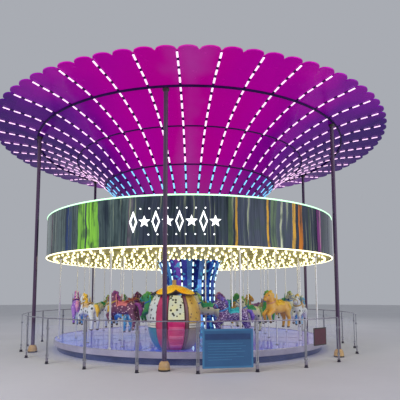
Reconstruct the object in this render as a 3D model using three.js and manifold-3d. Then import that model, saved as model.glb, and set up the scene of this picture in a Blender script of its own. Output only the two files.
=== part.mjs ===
// Merry-go-round with a trumpet-shaped light canopy, in millimetres, +Z up.
// The origin is on the ground at the middle of the centre column.
// An azimuth of 0 degrees points along -Y, and azimuths grow towards +X.

import * as THREE from 'three';
import { mergeVertices } from 'three/addons/utils/BufferGeometryUtils.js';
import Module from 'manifold-3d';

const wasm = await Module();
wasm.setup();

// Gap between pieces that touch, and the sides of round things
const SEAT_GAP = 0.3;
const RING_SIDES = 40;
const POLE_SIDES = 6;
const EDGE_POLE_SIDES = 8;

// Fixed base: a shallow round pan with a rim wall and a bearing hub in the middle
const BASE_RADIUS = 4130;
const BASE_WALL = 70;
const BASE_PLATE = 12;
const BASE_HEIGHT = 150;
const HUB_RADIUS = 1320;
const BEARING_INNER_RADIUS = 1200;

// Turning deck
const DECK_RADIUS = 4230;
const DECK_TOP = 300;
const DECK_DEPTH = 140;
const DECK_HOLE_RADIUS = 1150;
const DECK_UNDERSIDE = DECK_TOP - DECK_DEPTH;
const BEARING_TOP = DECK_UNDERSIDE - SEAT_GAP;

// Ceiling and the drum-shaped housing around and above it, which turn with the deck
const CEILING_BOTTOM = 2700;
const CEILING_THICKNESS = 40;
const CEILING_HOLE_RADIUS = 1100;
const DRUM_RADIUS = 4515;
const DRUM_WALL = 50;
const DRUM_BOTTOM = 2693;
const DRUM_TOP = 3869;
const DRUM_ROOF_TOP = 3740;
const DRUM_ROOF_THICKNESS = 40;
const DRUM_ROOF_HOLE_RADIUS = 1700;

// Eight thin poles at the deck's edge carry the ceiling
const EDGE_POLE_COUNT = 8;
const EDGE_POLE_RADIUS = 25;
const EDGE_POLE_CIRCLE = 4100;
const EDGE_POLE_START = 17;

// Centre column, an hourglass that widens into the canopy
const COLUMN_SIDES = 32;
const COLUMN_START = -16.2;
const COLUMN_PROFILE = [[1090, 150.3], [1070, 310], [930, 800], [835, 1250], [815, 1560],
  [845, 2085], [1050, 2730], [1310, 3295]];
const COLUMN_TOP = [1678, 3870];

// Canopy: radius and height of its underside from the column top to the outer light ring
const CANOPY_CURVE = [[1310, 3295], COLUMN_TOP, [2190, 4540], [2785, 5147], [3695, 5839],
  [4869, 6272], [5945, 6410]];
const CANOPY_THICKNESS = 40;
const CANOPY_SECTORS = 6;
const PANELS_PER_SECTOR = 7;
const STRIP_START = -2.44;
const PETALS_PER_PANEL = 2;
const PETAL_DEPTH = 155;
const PETAL_OUTLINE = [[0, 0], [0.18, 0.75], [0.5, 1], [0.82, 0.75]];
const PROFILE_STOPS = [1, 1.5, 2, 2.5, 3, 3.5, 4, 4.5, 5];
const CANOPY_FOOT_WIDTH = 53;
const RING_BEAMS = [3, 4, 5];
const RING_BEAM_HALF_WIDTH = 28;
const RING_BEAM_DEPTH = 35;

// Six posts from the ground to the outer ring beam, which rests on the outer side of their heads
const POST_CIRCLE = 4810;
const POST_START = -6.4;
const POST_RADIUS = 50;
const POST_SIDES = 10;
const POST_BASE = [[130, 0], [130, 40], [110, 140], [65, 200]];
const POST_HEAD_RADIUS = 80;
const POST_HEAD_HEIGHT = 25;
const POST_HEAD_TAPER = 60;

// Glass fence around the ride, with one gap as the entrance
const FENCE_RADIUS = 5112;
const FENCE_START = 1.9;
const FENCE_STEP = 14.2;
const FENCE_FIRST_POST = -21;
const FENCE_NODES = 4;
const BAYS_PER_NODE = 6;
const FENCE_POST = [66, 14];
const FENCE_FOOT_RADIUS = 45;
const FENCE_FOOT_HEIGHT = 60;
const FENCE_GLASS = 12;
const FENCE_GLASS_BOTTOM = 110;
const FENCE_GLASS_TOP = 900;
const FENCE_RAIL_RADIUS = 14;
const FENCE_RAIL_HEIGHT = 1053;

// Notice board and small sign hung on the fence glass
const BOARD = { azimuth: 9, width: 1080, height: 800, thickness: 20, bottom: 100 };
const SIGN = { azimuth: 37.4, width: 470, height: 400, thickness: 16, bottom: 450, shift: -120 };

// Horses: rows of poles, the stroke of each pole, and the height of the hooves at mid-stroke
const POLE_RADIUS = 17;
const POLE_BOTTOM = 150;
const POLE_TOP = 3150;
const GUIDE_CLEARANCE = 0.35;
const CEILING_CLEARANCE = 6;
const STROKE = 125;
const REST_SHARE = 0.8;
const HOOF_HEIGHT = 650;
const ROWS = [
  { name: 'outer', radius: 3600, start: -50.5, step: 22.5, coats: ['white', 'maroon', null, 'night',
    'gold', 'white', 'sky', 'cream', 'violet', 'green', 'gold', 'white', 'maroon', 'cream', 'sky',
    'violet'] },
  { name: 'inner', radius: 2600, start: -50.5, step: 30, coats: ['sky', 'green', 'cream', 'cream',
    'green', 'white', 'gold', 'violet', 'sky', 'maroon', 'cream', 'white'] },
];
const PHASE_STEP = 137;

// Horse shape, seen from its side: it faces -X, with its pole at x = 0 and its hooves at z = 0
const HORSE_WIDTH = 280;
const HORSE_BODY = [[400, 470], [450, 600], [380, 715], [150, 665], [-60, 680], [-170, 830],
  [-225, 955], [-270, 990], [-330, 925], [-520, 770], [-500, 690], [-350, 720], [-355, 560],
  [-290, 430], [-100, 380], [210, 395]];
const HORSE_TAIL = [[400, 690], [560, 650], [600, 380], [520, 360], [430, 560]];
const TAIL_WIDTH = 80;
const FRONT_LEG = [[-180, 470], [-330, 470], [-470, 330], [-350, 150], [-340, 310]];
const REAR_LEG = [[420, 520], [230, 450], [340, 0], [430, 0], [480, 240]];
const LEG_WIDTH = 90;
const LEG_OFFSET = 85;

// Pumpkin carriage on the deck: a bowl, a wall open above the door, a half-round bench
// and a cap
const CARRIAGE_CIRCLE = 3500;
const CARRIAGE_AZIMUTH = -6.2;
const DOOR_AZIMUTH = 7;
const CARRIAGE_SIDES = 24;
const BOWL_PROFILE = [[0, 0], [400, 0], [545, 180], [625, 420], [645, 650], [600, 650],
  [580, 430], [500, 200], [370, 60], [0, 60]];
const WALL_PROFILE = [[645, 600], [648, 840], [600, 1080], [510, 1250], [490, 1299.7],
  [460, 1299.7], [480, 1250], [570, 1080], [618, 840], [615, 600]];
const WINDOW = { width: 430, reach: 750, bottom: 700, height: 620 };
const BENCH = { radius: 570, bottom: 300, height: 150, front: 60 };
const CAP_PROFILE = [[0, 1300], [560, 1300], [600, 1350], [430, 1410], [250, 1490], [95, 1540],
  [60, 1660], [0, 1670]];

const deg = THREE.MathUtils.degToRad;

// Colours of the materials
const finish = (color, roughness, metalness) =>
  new THREE.MeshStandardMaterial({ color, roughness, metalness });
const materials = {
  base: finish(0x1d2a66, 0.5, 0.1),
  deck: finish(0xb8b4d8, 0.3, 0.1),
  ceiling: finish(0x8a7a2a, 0.4, 0.3),
  drum: finish(0x2c3a40, 0.15, 0.9),
  edgePole: finish(0xc8c8d0, 0.3, 0.9),
  column: finish(0x1a2a6a, 0.15, 0.8),
  canopy: finish(0xb0107a, 0.2, 0.4),
  post: finish(0x8d6a86, 0.35, 0.6),
  fence: finish(0xaeb6c0, 0.25, 0.9),
  board: finish(0x2f6fa8, 0.5, 0.0),
  sign: finish(0x5a0f1e, 0.5, 0.0),
  carriage: finish(0xc02058, 0.3, 0.1),
  cap: finish(0xe0a020, 0.35, 0.1),
};
const coats = {
  white: finish(0xe8e8e0, 0.4, 0.0),
  maroon: finish(0x6a1c3a, 0.4, 0.0),
  night: finish(0x3a2a70, 0.4, 0.0),
  gold: finish(0xd09030, 0.4, 0.0),
  cream: finish(0xe6e2d0, 0.4, 0.0),
  green: finish(0x40b050, 0.4, 0.0),
  sky: finish(0x50b8e0, 0.4, 0.0),
  violet: finish(0x8040b0, 0.4, 0.0),
};

const model = new THREE.Group();

function addPiece(name, geometry, material) {
  const piece = new THREE.Mesh(geometry, material);
  piece.name = name;
  model.add(piece);
  return piece;
}

// Solids that are joined and cut
function solidOf(geometry) {
  const bare = geometry.clone();
  bare.deleteAttribute('normal');
  bare.deleteAttribute('uv');
  const welded = mergeVertices(bare, 0.01);
  const corners = welded.index.array;
  const kept = [];
  for (let i = 0; i < corners.length; i += 3) {
    const [a, b, c] = [corners[i], corners[i + 1], corners[i + 2]];
    if (a !== b && b !== c && c !== a) kept.push(a, b, c);
  }
  return new wasm.Manifold(new wasm.Mesh({
    numProp: 3,
    vertProperties: new Float32Array(welded.attributes.position.array),
    triVerts: new Uint32Array(kept),
  }));
}

function geometryOf(solid) {
  const mesh = solid.getMesh();
  const geometry = new THREE.BufferGeometry();
  geometry.setAttribute('position', new THREE.BufferAttribute(mesh.vertProperties, 3));
  geometry.setIndex(new THREE.BufferAttribute(mesh.triVerts, 1));
  return geometry;
}

function joined(geometries) {
  return geometries.map(solidOf).reduce((whole, part) => whole.add(part));
}

// Turns a shape made at azimuth 0 to its azimuth, after moving it out from the middle
function placed(geometry, azimuth, radius = 0, height = 0) {
  return geometry.translate(0, -radius, height).rotateZ(deg(azimuth));
}

function revolved(profile, sides, start = 0) {
  const outline = profile.map(([r, z]) => new THREE.Vector2(r, z));
  return new THREE.LatheGeometry(outline, sides).rotateX(Math.PI / 2).rotateZ(deg(start));
}

function closedLoop(profile) {
  return [...profile, profile[0]];
}

function circlePoints(radius, sides, start = 0) {
  const points = [];
  for (let i = 0; i < sides; i += 1) {
    const angle = deg(start) + (2 * Math.PI * i) / sides;
    points.push(new THREE.Vector2(radius * Math.cos(angle), radius * Math.sin(angle)));
  }
  return points;
}

function upright(radius, bottom, top, sides) {
  return new THREE.CylinderGeometry(radius, radius, top - bottom, sides)
    .rotateX(Math.PI / 2)
    .translate(0, 0, (top + bottom) / 2);
}

// A flat round plate with a hole in the middle and small holes for the poles
function plate(radius, holeRadius, bottom, thickness, poleHole) {
  const shape = new THREE.Shape(circlePoints(radius, RING_SIDES));
  shape.holes.push(new THREE.Path(circlePoints(holeRadius, RING_SIDES)));
  for (const { azimuth, radius: circle } of horsePlaces()) {
    const turn = deg(azimuth);
    const centre = new THREE.Vector2(circle * Math.sin(turn), -circle * Math.cos(turn));
    const outline = circlePoints(poleHole, POLE_SIDES, azimuth - 90).map((point) => point.add(centre));
    shape.holes.push(new THREE.Path(outline));
  }
  return new THREE.ExtrudeGeometry(shape, { depth: thickness, bevelEnabled: false })
    .translate(0, 0, bottom);
}

// Where each horse's pole stands. The carriage takes one place of the outer row.
function horsePlaces() {
  const places = [];
  for (const { name, radius, start, step, coats: rowCoats } of ROWS) {
    rowCoats.forEach((coat, i) => {
      if (coat === null) return;
      const lift = STROKE * REST_SHARE * Math.sin(deg(PHASE_STEP * places.length));
      places.push({ name: `${name}_horse_${i + 1}`, azimuth: start + step * i, radius, lift, coat });
    });
  }
  return places;
}

function sideOutline(points, width, offset = 0) {
  const shape = new THREE.Shape(points.map(([x, z]) => new THREE.Vector2(x, z)));
  return new THREE.ExtrudeGeometry(shape, { depth: width, bevelEnabled: false })
    .rotateX(Math.PI / 2)
    .translate(0, offset + width / 2, 0);
}

function horseGeometry() {
  const shapes = [sideOutline(HORSE_BODY, HORSE_WIDTH), sideOutline(HORSE_TAIL, TAIL_WIDTH)];
  for (const side of [-LEG_OFFSET, LEG_OFFSET]) {
    shapes.push(sideOutline(FRONT_LEG, LEG_WIDTH, side));
    shapes.push(sideOutline(REAR_LEG, LEG_WIDTH, side));
  }
  shapes.push(upright(POLE_RADIUS, POLE_BOTTOM - HOOF_HEIGHT, POLE_TOP - HOOF_HEIGHT, POLE_SIDES));
  return geometryOf(joined(shapes));
}

function addHorses() {
  const shape = horseGeometry();
  for (const { name, azimuth, radius, lift, coat } of horsePlaces()) {
    const horse = addPiece(name, shape.clone(), coats[coat]);
    const turn = deg(azimuth);
    horse.rotation.z = turn;
    horse.position.set(radius * Math.sin(turn), -radius * Math.cos(turn), HOOF_HEIGHT + lift);
  }
}

function addBase() {
  const profile = [[0, 0], [BASE_RADIUS, 0], [BASE_RADIUS, BASE_HEIGHT],
    [BASE_RADIUS - BASE_WALL, BASE_HEIGHT], [BASE_RADIUS - BASE_WALL, BASE_PLATE],
    [HUB_RADIUS, BASE_PLATE], [HUB_RADIUS, BEARING_TOP], [BEARING_INNER_RADIUS, BEARING_TOP],
    [BEARING_INNER_RADIUS, BASE_HEIGHT], [0, BASE_HEIGHT]];
  addPiece('base', revolved(profile, RING_SIDES), materials.base);
}

function addDeckAndCeiling() {
  const deck = plate(DECK_RADIUS, DECK_HOLE_RADIUS, DECK_UNDERSIDE, DECK_DEPTH,
    POLE_RADIUS + GUIDE_CLEARANCE);
  addPiece('deck', deck, materials.deck);
  const ceiling = plate(DRUM_RADIUS - DRUM_WALL - SEAT_GAP, CEILING_HOLE_RADIUS, CEILING_BOTTOM,
    CEILING_THICKNESS, POLE_RADIUS + CEILING_CLEARANCE);
  addPiece('ceiling', ceiling, materials.ceiling);
}

function addDrum() {
  const inner = DRUM_RADIUS - DRUM_WALL;
  const roofUnderside = DRUM_ROOF_TOP - DRUM_ROOF_THICKNESS;
  const profile = [[DRUM_RADIUS, DRUM_BOTTOM], [DRUM_RADIUS, DRUM_TOP], [inner, DRUM_TOP],
    [inner, DRUM_ROOF_TOP], [DRUM_ROOF_HOLE_RADIUS, DRUM_ROOF_TOP],
    [DRUM_ROOF_HOLE_RADIUS, roofUnderside], [inner, roofUnderside], [inner, DRUM_BOTTOM]];
  addPiece('drum', revolved(closedLoop(profile), RING_SIDES), materials.drum);
}

function addEdgePoles() {
  for (let i = 0; i < EDGE_POLE_COUNT; i += 1) {
    const azimuth = EDGE_POLE_START + (360 / EDGE_POLE_COUNT) * i;
    const pole = upright(EDGE_POLE_RADIUS, DECK_TOP + SEAT_GAP, CEILING_BOTTOM - SEAT_GAP,
      EDGE_POLE_SIDES);
    addPiece(`edge_pole_${i + 1}`, placed(pole, azimuth, EDGE_POLE_CIRCLE), materials.edgePole);
  }
}

function addColumn() {
  const profile = [[0, BASE_HEIGHT + SEAT_GAP], ...COLUMN_PROFILE, COLUMN_TOP, [0, COLUMN_TOP[1]]];
  addPiece('centre_column', revolved(profile, COLUMN_SIDES, COLUMN_START), materials.column);
}

// Underside of the canopy: whole numbers are the fitted points, halves lie between them
const canopyCurve = new THREE.CatmullRomCurve3(
  CANOPY_CURVE.map(([r, z]) => new THREE.Vector3(r, 0, z)));

function canopyPoint(index) {
  return canopyCurve.getPoint(index / (CANOPY_CURVE.length - 1));
}

function canopyHeightAt(radius) {
  const halvings = 40;
  let low = 0;
  let high = 1;
  for (let i = 0; i < halvings; i += 1) {
    const middle = (low + high) / 2;
    if (canopyCurve.getPoint(middle).x < radius) low = middle;
    else high = middle;
  }
  return canopyCurve.getPoint(low).z;
}

// The ring beam below the canopy at a fitted point, as four corners of the underside
function ringBeamCorners(index) {
  const radius = CANOPY_CURVE[index][0];
  const inner = radius - RING_BEAM_HALF_WIDTH;
  const outer = radius + RING_BEAM_HALF_WIDTH;
  const bottom = canopyHeightAt(inner) - RING_BEAM_DEPTH;
  return [[inner, canopyHeightAt(inner)], [inner, bottom], [outer, bottom],
    [outer, canopyHeightAt(outer)]];
}

function canopyUnderside() {
  const points = [];
  for (const index of PROFILE_STOPS) {
    if (RING_BEAMS.includes(index)) points.push(...ringBeamCorners(index));
    else points.push([canopyPoint(index).x, canopyPoint(index).z]);
  }
  points[0][1] += SEAT_GAP;
  return points;
}

function canopyTopside() {
  const points = [];
  for (const index of PROFILE_STOPS) {
    const t = index / (CANOPY_CURVE.length - 1);
    const point = canopyCurve.getPoint(t);
    const along = canopyCurve.getTangent(t);
    points.push([point.x - along.z * CANOPY_THICKNESS, point.z + along.x * CANOPY_THICKNESS]);
  }
  points[0] = [COLUMN_TOP[0] - CANOPY_FOOT_WIDTH, COLUMN_TOP[1] + SEAT_GAP];
  return points;
}

// One sixth of the canopy: flat panels between the light strips, and scalloped petals at the rim
function canopySector(startAzimuth) {
  const vertices = [];
  const triangles = [];
  const addVertex = (azimuth, r, z) => {
    const turn = deg(azimuth);
    vertices.push(r * Math.sin(turn), -r * Math.cos(turn), z);
    return vertices.length / 3 - 1;
  };
  const panelWidth = 360 / CANOPY_SECTORS / PANELS_PER_SECTOR;
  const rows = (profile) => {
    const grid = [];
    for (let i = 0; i <= PANELS_PER_SECTOR; i += 1) {
      grid.push(profile.map(([r, z]) => addVertex(startAzimuth + panelWidth * i, r, z)));
    }
    return grid;
  };
  const rimRow = (height) => {
    const row = [];
    const [radius] = CANOPY_CURVE.at(-1);
    const petals = PANELS_PER_SECTOR * PETALS_PER_PANEL;
    for (let i = 0; i < petals; i += 1) {
      for (const [along, out] of PETAL_OUTLINE) {
        const azimuth = startAzimuth + (panelWidth / PETALS_PER_PANEL) * (i + along);
        row.push(addVertex(azimuth, radius + out * PETAL_DEPTH, height));
      }
    }
    row.push(addVertex(startAzimuth + panelWidth * PANELS_PER_SECTOR, radius, height));
    return row;
  };
  const quad = (a, b, c, d) => triangles.push(a, b, c, a, c, d);
  const under = rows(canopyUnderside());
  const over = rows(canopyTopside());
  const rimHeight = CANOPY_CURVE.at(-1)[1];
  const underRim = rimRow(rimHeight);
  const overRim = rimRow(rimHeight + CANOPY_THICKNESS);
  const rimSteps = PETALS_PER_PANEL * PETAL_OUTLINE.length;
  for (let i = 0; i < PANELS_PER_SECTOR; i += 1) {
    const [left, right, topLeft, topRight] = [under[i], under[i + 1], over[i], over[i + 1]];
    for (let j = 0; j + 1 < left.length; j += 1) {
      quad(left[j], right[j], right[j + 1], left[j + 1]);
    }
    for (let j = 0; j + 1 < topLeft.length; j += 1) {
      quad(topLeft[j], topLeft[j + 1], topRight[j + 1], topRight[j]);
    }
    quad(left[0], topLeft[0], topRight[0], right[0]);
    const half = rimSteps / 2;
    for (let j = 0; j < rimSteps; j += 1) {
      const k = i * rimSteps + j;
      const [inner, topInner] = j < half ? [left, topLeft] : [right, topRight];
      triangles.push(inner.at(-1), underRim[k + 1], underRim[k]);
      triangles.push(topInner.at(-1), overRim[k], overRim[k + 1]);
      quad(underRim[k], underRim[k + 1], overRim[k + 1], overRim[k]);
    }
    const middle = i * rimSteps + half;
    triangles.push(left.at(-1), right.at(-1), underRim[middle]);
    triangles.push(topLeft.at(-1), overRim[middle], topRight.at(-1));
  }
  addEndFace(triangles, vertices,
    [...under[0], underRim[0], overRim[0], ...over[0].toReversed()], false);
  addEndFace(triangles, vertices,
    [...under.at(-1), underRim.at(-1), overRim.at(-1), ...over.at(-1).toReversed()], true);
  const geometry = new THREE.BufferGeometry();
  geometry.setAttribute('position', new THREE.Float32BufferAttribute(vertices, 3));
  geometry.setIndex(triangles);
  return geometry;
}

// Closes the flat end of a sector, whose corners all lie in one upright plane through the axis
function addEndFace(triangles, vertices, loop, flipped) {
  const flat = loop.map((i) => new THREE.Vector2(
    Math.hypot(vertices[3 * i], vertices[3 * i + 1]), vertices[3 * i + 2]));
  for (const [a, b, c] of THREE.ShapeUtils.triangulateShape(flat, [])) {
    const corners = flipped ? [a, c, b] : [a, b, c];
    triangles.push(...corners.map((i) => loop[i]));
  }
}

function addCanopy() {
  const sectorWidth = 360 / CANOPY_SECTORS;
  for (let i = 0; i < CANOPY_SECTORS; i += 1) {
    const start = STRIP_START + sectorWidth * i;
    const sector = addPiece(`canopy_sector_${i + 1}`, canopySector(start), materials.canopy);
    const middle = deg(start + sectorWidth / 2);
    sector.position.set(SEAT_GAP * Math.sin(middle), -SEAT_GAP * Math.cos(middle), 0);
  }
}

function addPosts() {
  const top = ringBeamCorners(RING_BEAMS.at(-1))[1][1] - SEAT_GAP;
  const profile = [[0, 0], ...POST_BASE, [POST_RADIUS, POST_BASE.at(-1)[1]],
    [POST_RADIUS, top - POST_HEAD_HEIGHT - POST_HEAD_TAPER],
    [POST_HEAD_RADIUS, top - POST_HEAD_HEIGHT], [POST_HEAD_RADIUS, top], [0, top]];
  for (let i = 0; i < CANOPY_SECTORS; i += 1) {
    const azimuth = POST_START + (360 / CANOPY_SECTORS) * i;
    const post = placed(revolved(profile, POST_SIDES), azimuth, POST_CIRCLE);
    addPiece(`canopy_post_${i + 1}`, post, materials.post);
  }
}

// Several bays of the glass fence, as one run. A run that another one follows has no last post:
// its glass and its rail end just short of the next run's first post.
function fenceRun(firstPost, isLast) {
  const half = deg(FENCE_STEP / 2);
  const chordRadius = FENCE_RADIUS * Math.cos(half);
  const chord = 2 * FENCE_RADIUS * Math.sin(half);
  const [postWidth, postDepth] = FENCE_POST;
  const reach = (width, depth) => (width * Math.cos(half) + depth * Math.sin(half)) / 2 + SEAT_GAP;
  const setback = reach(postWidth, postDepth);
  const glassOverlap = postWidth / 4;
  const railOverlap = FENCE_RAIL_RADIUS / 8;
  const shapes = [];
  const posts = isLast ? BAYS_PER_NODE + 1 : BAYS_PER_NODE;
  for (let i = 0; i < posts; i += 1) {
    const azimuth = FENCE_START + FENCE_STEP * (firstPost + i);
    const foot = upright(FENCE_FOOT_RADIUS, 0, FENCE_FOOT_HEIGHT, POLE_SIDES);
    const postHeight = FENCE_RAIL_HEIGHT - FENCE_FOOT_HEIGHT / 2;
    const post = new THREE.BoxGeometry(postWidth, postDepth, postHeight)
      .translate(0, 0, FENCE_RAIL_HEIGHT - postHeight / 2);
    for (const shape of [foot, post]) shapes.push(placed(shape, azimuth, FENCE_RADIUS));
  }
  for (let i = 0; i < BAYS_PER_NODE; i += 1) {
    const azimuth = FENCE_START + FENCE_STEP * (firstPost + i + 0.5);
    const openEnd = !isLast && i === BAYS_PER_NODE - 1;
    const glassStart = -chord / 2 + glassOverlap;
    const glassEnd = chord / 2 - (openEnd ? setback : glassOverlap);
    const glassHeight = FENCE_GLASS_TOP - FENCE_GLASS_BOTTOM;
    const glass = new THREE.BoxGeometry(glassEnd - glassStart, FENCE_GLASS, glassHeight)
      .translate((glassStart + glassEnd) / 2, 0, 0);
    const railStart = -chord / 2 - railOverlap;
    const railEnd = chord / 2 + (openEnd ? -setback : railOverlap);
    const rail = new THREE.CylinderGeometry(FENCE_RAIL_RADIUS, FENCE_RAIL_RADIUS,
      railEnd - railStart, POLE_SIDES).rotateZ(Math.PI / 2)
      .translate((railStart + railEnd) / 2, 0, 0);
    const glassMiddle = (FENCE_GLASS_TOP + FENCE_GLASS_BOTTOM) / 2;
    shapes.push(placed(glass, azimuth, chordRadius, glassMiddle));
    shapes.push(placed(rail, azimuth, chordRadius, FENCE_RAIL_HEIGHT));
  }
  return geometryOf(joined(shapes));
}

function addFence() {
  for (let i = 0; i < FENCE_NODES; i += 1) {
    const run = fenceRun(FENCE_FIRST_POST + BAYS_PER_NODE * i, i === FENCE_NODES - 1);
    addPiece(`fence_${i + 1}`, run, materials.fence);
  }
}

function addPlate(name, plateSize, material) {
  const { azimuth, width, height, thickness, bottom, shift = 0 } = plateSize;
  const glassFace = FENCE_RADIUS * Math.cos(deg(FENCE_STEP / 2)) + FENCE_GLASS / 2;
  const radius = glassFace + SEAT_GAP + thickness / 2;
  const shape = new THREE.BoxGeometry(width, thickness, height).translate(shift, 0, 0);
  addPiece(name, placed(shape, azimuth, radius, bottom + height / 2), material);
}

function carriageShell() {
  const { radius, bottom, height, front } = BENCH;
  const seat = solidOf(upright(radius, bottom, bottom + height, CARRIAGE_SIDES));
  const legroom = solidOf(new THREE.BoxGeometry(2 * radius, 2 * radius, 2 * height)
    .translate(0, front - radius, bottom + height / 2));
  const opening = solidOf(new THREE.BoxGeometry(WINDOW.width, WINDOW.reach, WINDOW.height)
    .translate(0, -WINDOW.reach / 2, WINDOW.bottom + WINDOW.height / 2));
  const shell = joined([revolved(BOWL_PROFILE, CARRIAGE_SIDES),
    revolved(closedLoop(WALL_PROFILE), CARRIAGE_SIDES)]);
  return geometryOf(shell.subtract(opening).add(seat.subtract(legroom)));
}

function addCarriage() {
  const turn = deg(CARRIAGE_AZIMUTH);
  const parts = [['carriage_body', carriageShell(), materials.carriage],
    ['carriage_cap', revolved(CAP_PROFILE, CARRIAGE_SIDES), materials.cap]];
  for (const [name, geometry, material] of parts) {
    const piece = addPiece(name, geometry, material);
    piece.rotation.z = deg(DOOR_AZIMUTH);
    piece.position.set(CARRIAGE_CIRCLE * Math.sin(turn), -CARRIAGE_CIRCLE * Math.cos(turn),
      DECK_TOP + SEAT_GAP);
  }
}

addBase();
addColumn();
addCanopy();
addPosts();
addFence();
addPlate('notice_board', BOARD, materials.board);
addPlate('small_sign', SIGN, materials.sign);
addDeckAndCeiling();
addDrum();
addEdgePoles();
addCarriage();
addHorses();

export default model;
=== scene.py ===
# %% [markdown]
# # A merry-go-round under a trumpet of light
#
# The ride has a fixed part and a turning part. Fixed are the base, the hourglass column, the
# magenta canopy that grows out of it, its six posts and the glass fence. Turning are the deck, the
# mirrored drum with its ceiling of bulbs, the pumpkin carriage and 27 horses, which also slide up
# and down on their poles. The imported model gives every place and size, and this lesson dresses it.

# %% Load the frame
import math
from contextlib import contextmanager

import bmesh
import bpy
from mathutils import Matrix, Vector
from mathutils.geometry import interpolate_bezier


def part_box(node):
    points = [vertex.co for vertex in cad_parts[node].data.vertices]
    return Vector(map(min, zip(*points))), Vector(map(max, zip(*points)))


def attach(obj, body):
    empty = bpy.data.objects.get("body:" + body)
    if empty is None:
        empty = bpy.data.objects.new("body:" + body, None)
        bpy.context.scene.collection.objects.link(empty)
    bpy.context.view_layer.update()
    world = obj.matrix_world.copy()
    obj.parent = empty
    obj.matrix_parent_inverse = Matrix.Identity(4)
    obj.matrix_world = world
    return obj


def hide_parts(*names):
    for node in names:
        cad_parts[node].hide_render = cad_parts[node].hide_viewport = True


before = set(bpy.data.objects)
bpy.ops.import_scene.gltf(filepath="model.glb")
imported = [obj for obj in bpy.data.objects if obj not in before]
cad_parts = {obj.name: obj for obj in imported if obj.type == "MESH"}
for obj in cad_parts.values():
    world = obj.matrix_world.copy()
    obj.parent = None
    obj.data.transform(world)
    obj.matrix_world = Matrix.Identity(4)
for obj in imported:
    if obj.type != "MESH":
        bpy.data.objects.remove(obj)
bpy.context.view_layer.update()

# %% [markdown]
# ## The camera
#
# The photograph was taken at eye height from 13.6 m away, looking slightly up. The lens and the
# shift were solved from the circles of the ride. A shift moves the picture in its frame and keeps
# uprights almost upright, as cropping a photograph does.

# %% Camera at the photograph's angle
EYE = (0.0, -13.6054, 1.6)
LOOK_UP = 0.0915
LOOK_ASIDE = -0.0057
LENS = 36.76
SHIFT = (0.0201, 0.1436)
camera_data = bpy.data.cameras.new("camera")
camera_data.lens = LENS
camera_data.shift_x, camera_data.shift_y = SHIFT
camera = bpy.data.objects.new("camera", camera_data)
camera.location = EYE
camera.rotation_euler = (math.pi / 2 + LOOK_UP, 0, LOOK_ASIDE)
scene = bpy.context.scene
scene.collection.objects.link(camera)
scene.camera = camera
print("camera at", EYE)

# %% [markdown]
# ## Helpers for the hands
#
# Operators act on what is selected, so each step starts from a clean selection. An azimuth of 0
# degrees points along -Y, towards the visitor, and azimuths grow towards +X. Pieces are modelled at
# azimuth 0 and then turned to their place, and the place is written into the mesh.

# %% Selecting and settling
def deselect():
    """Let go of everything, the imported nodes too."""
    bpy.ops.object.select_all(action="DESELECT")


def work_on(*pieces):
    """Select only these pieces and make the first one active."""
    deselect()
    for piece in pieces:
        piece.select_set(True)
    bpy.context.view_layer.objects.active = pieces[0]


def settle(piece):
    """Write a piece's place into its mesh, so that its object stands unturned at the origin."""
    work_on(piece)
    bpy.ops.object.transform_apply(location=True, rotation=True, scale=True)
    return piece


def turn_to(piece, azimuth):
    """Turn a piece about the ride's axis to its azimuth."""
    piece.rotation_euler.z = math.radians(azimuth)
    return settle(piece)


def place(piece, azimuth=0.0, radius=0.0, height=0.0):
    """Move a piece out from the middle and turn it to its azimuth."""
    piece.location = (0, -radius, height)
    return turn_to(settle(piece), azimuth)


def named(piece, name):
    """Give an object and its mesh the same name."""
    piece.name = name
    piece.data.name = name
    return piece


def twin(piece, name):
    """A copy of a piece with a mesh of its own."""
    work_on(piece)
    bpy.ops.object.duplicate()
    return named(bpy.context.object, name)


def joined(name, pieces):
    """Join several pieces into one."""
    work_on(*pieces)
    if len(pieces) > 1:
        bpy.ops.object.join()
    return named(bpy.context.object, name)


def discard(*pieces):
    """Remove moulds and tools that have served."""
    for piece in pieces:
        bpy.data.objects.remove(piece)


print("places ready")

# %% [markdown]
# Work in edit mode stands in a `with` block, so that each piece is left in object mode again.
# Modifiers are applied at once, because the next step works on their result.

# %% Edit mode and modifiers
@contextmanager
def editing(piece, select_by="VERT"):
    """Open a piece in edit mode for the lines of a with block, and close it after them."""
    work_on(piece)
    bpy.ops.object.mode_set(mode="EDIT")
    bpy.ops.mesh.select_mode(type=select_by)
    yield
    bpy.ops.object.mode_set(mode="OBJECT")


def extrude(move):
    """In edit mode, extrude what is selected and move it."""
    bpy.ops.mesh.extrude_region_move(TRANSFORM_OT_translate={"value": move})


def shape_with(piece, kind, **settings):
    """Add a modifier, set it and apply it at once."""
    work_on(piece)
    modifier = piece.modifiers.new(kind.title(), kind)
    for setting, value in settings.items():
        setattr(modifier, setting, value)
    bpy.ops.object.modifier_apply(modifier=modifier.name)
    return piece


def rounded(piece, width, segments=2):
    """Bevel the sharp edges of a piece."""
    return shape_with(piece, "BEVEL", width=width, segments=segments, limit_method="ANGLE")


def smooth(piece, angle=35):
    """Shade a piece smooth, apart from edges sharper than the angle."""
    work_on(piece)
    bpy.ops.object.shade_smooth_by_angle(angle=math.radians(angle))
    return piece


print("edit mode ready")

# %% [markdown]
# Most of this ride is round, so the lathe is its main tool. The outline is drawn as a chain of
# extruded vertices, and Spin turns it about the ride's axis. The doubles where the ends meet are
# merged first, and only then are the normals made consistent.

# %% Drawing a chain and turning it
MERGE_GAP = 0.0002
SEED_SIZE = 0.01


def chain(name, points):
    """A chain of edges through points, drawn by extruding one vertex on and on."""
    deselect()
    bpy.ops.mesh.primitive_plane_add(size=SEED_SIZE)
    piece = named(bpy.context.object, name)
    with editing(piece):
        bpy.ops.mesh.merge(type="CENTER")
        bpy.ops.transform.translate(value=points[0])
        for before, after in zip(points, points[1:]):
            extrude(after - before)
    return piece


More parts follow.
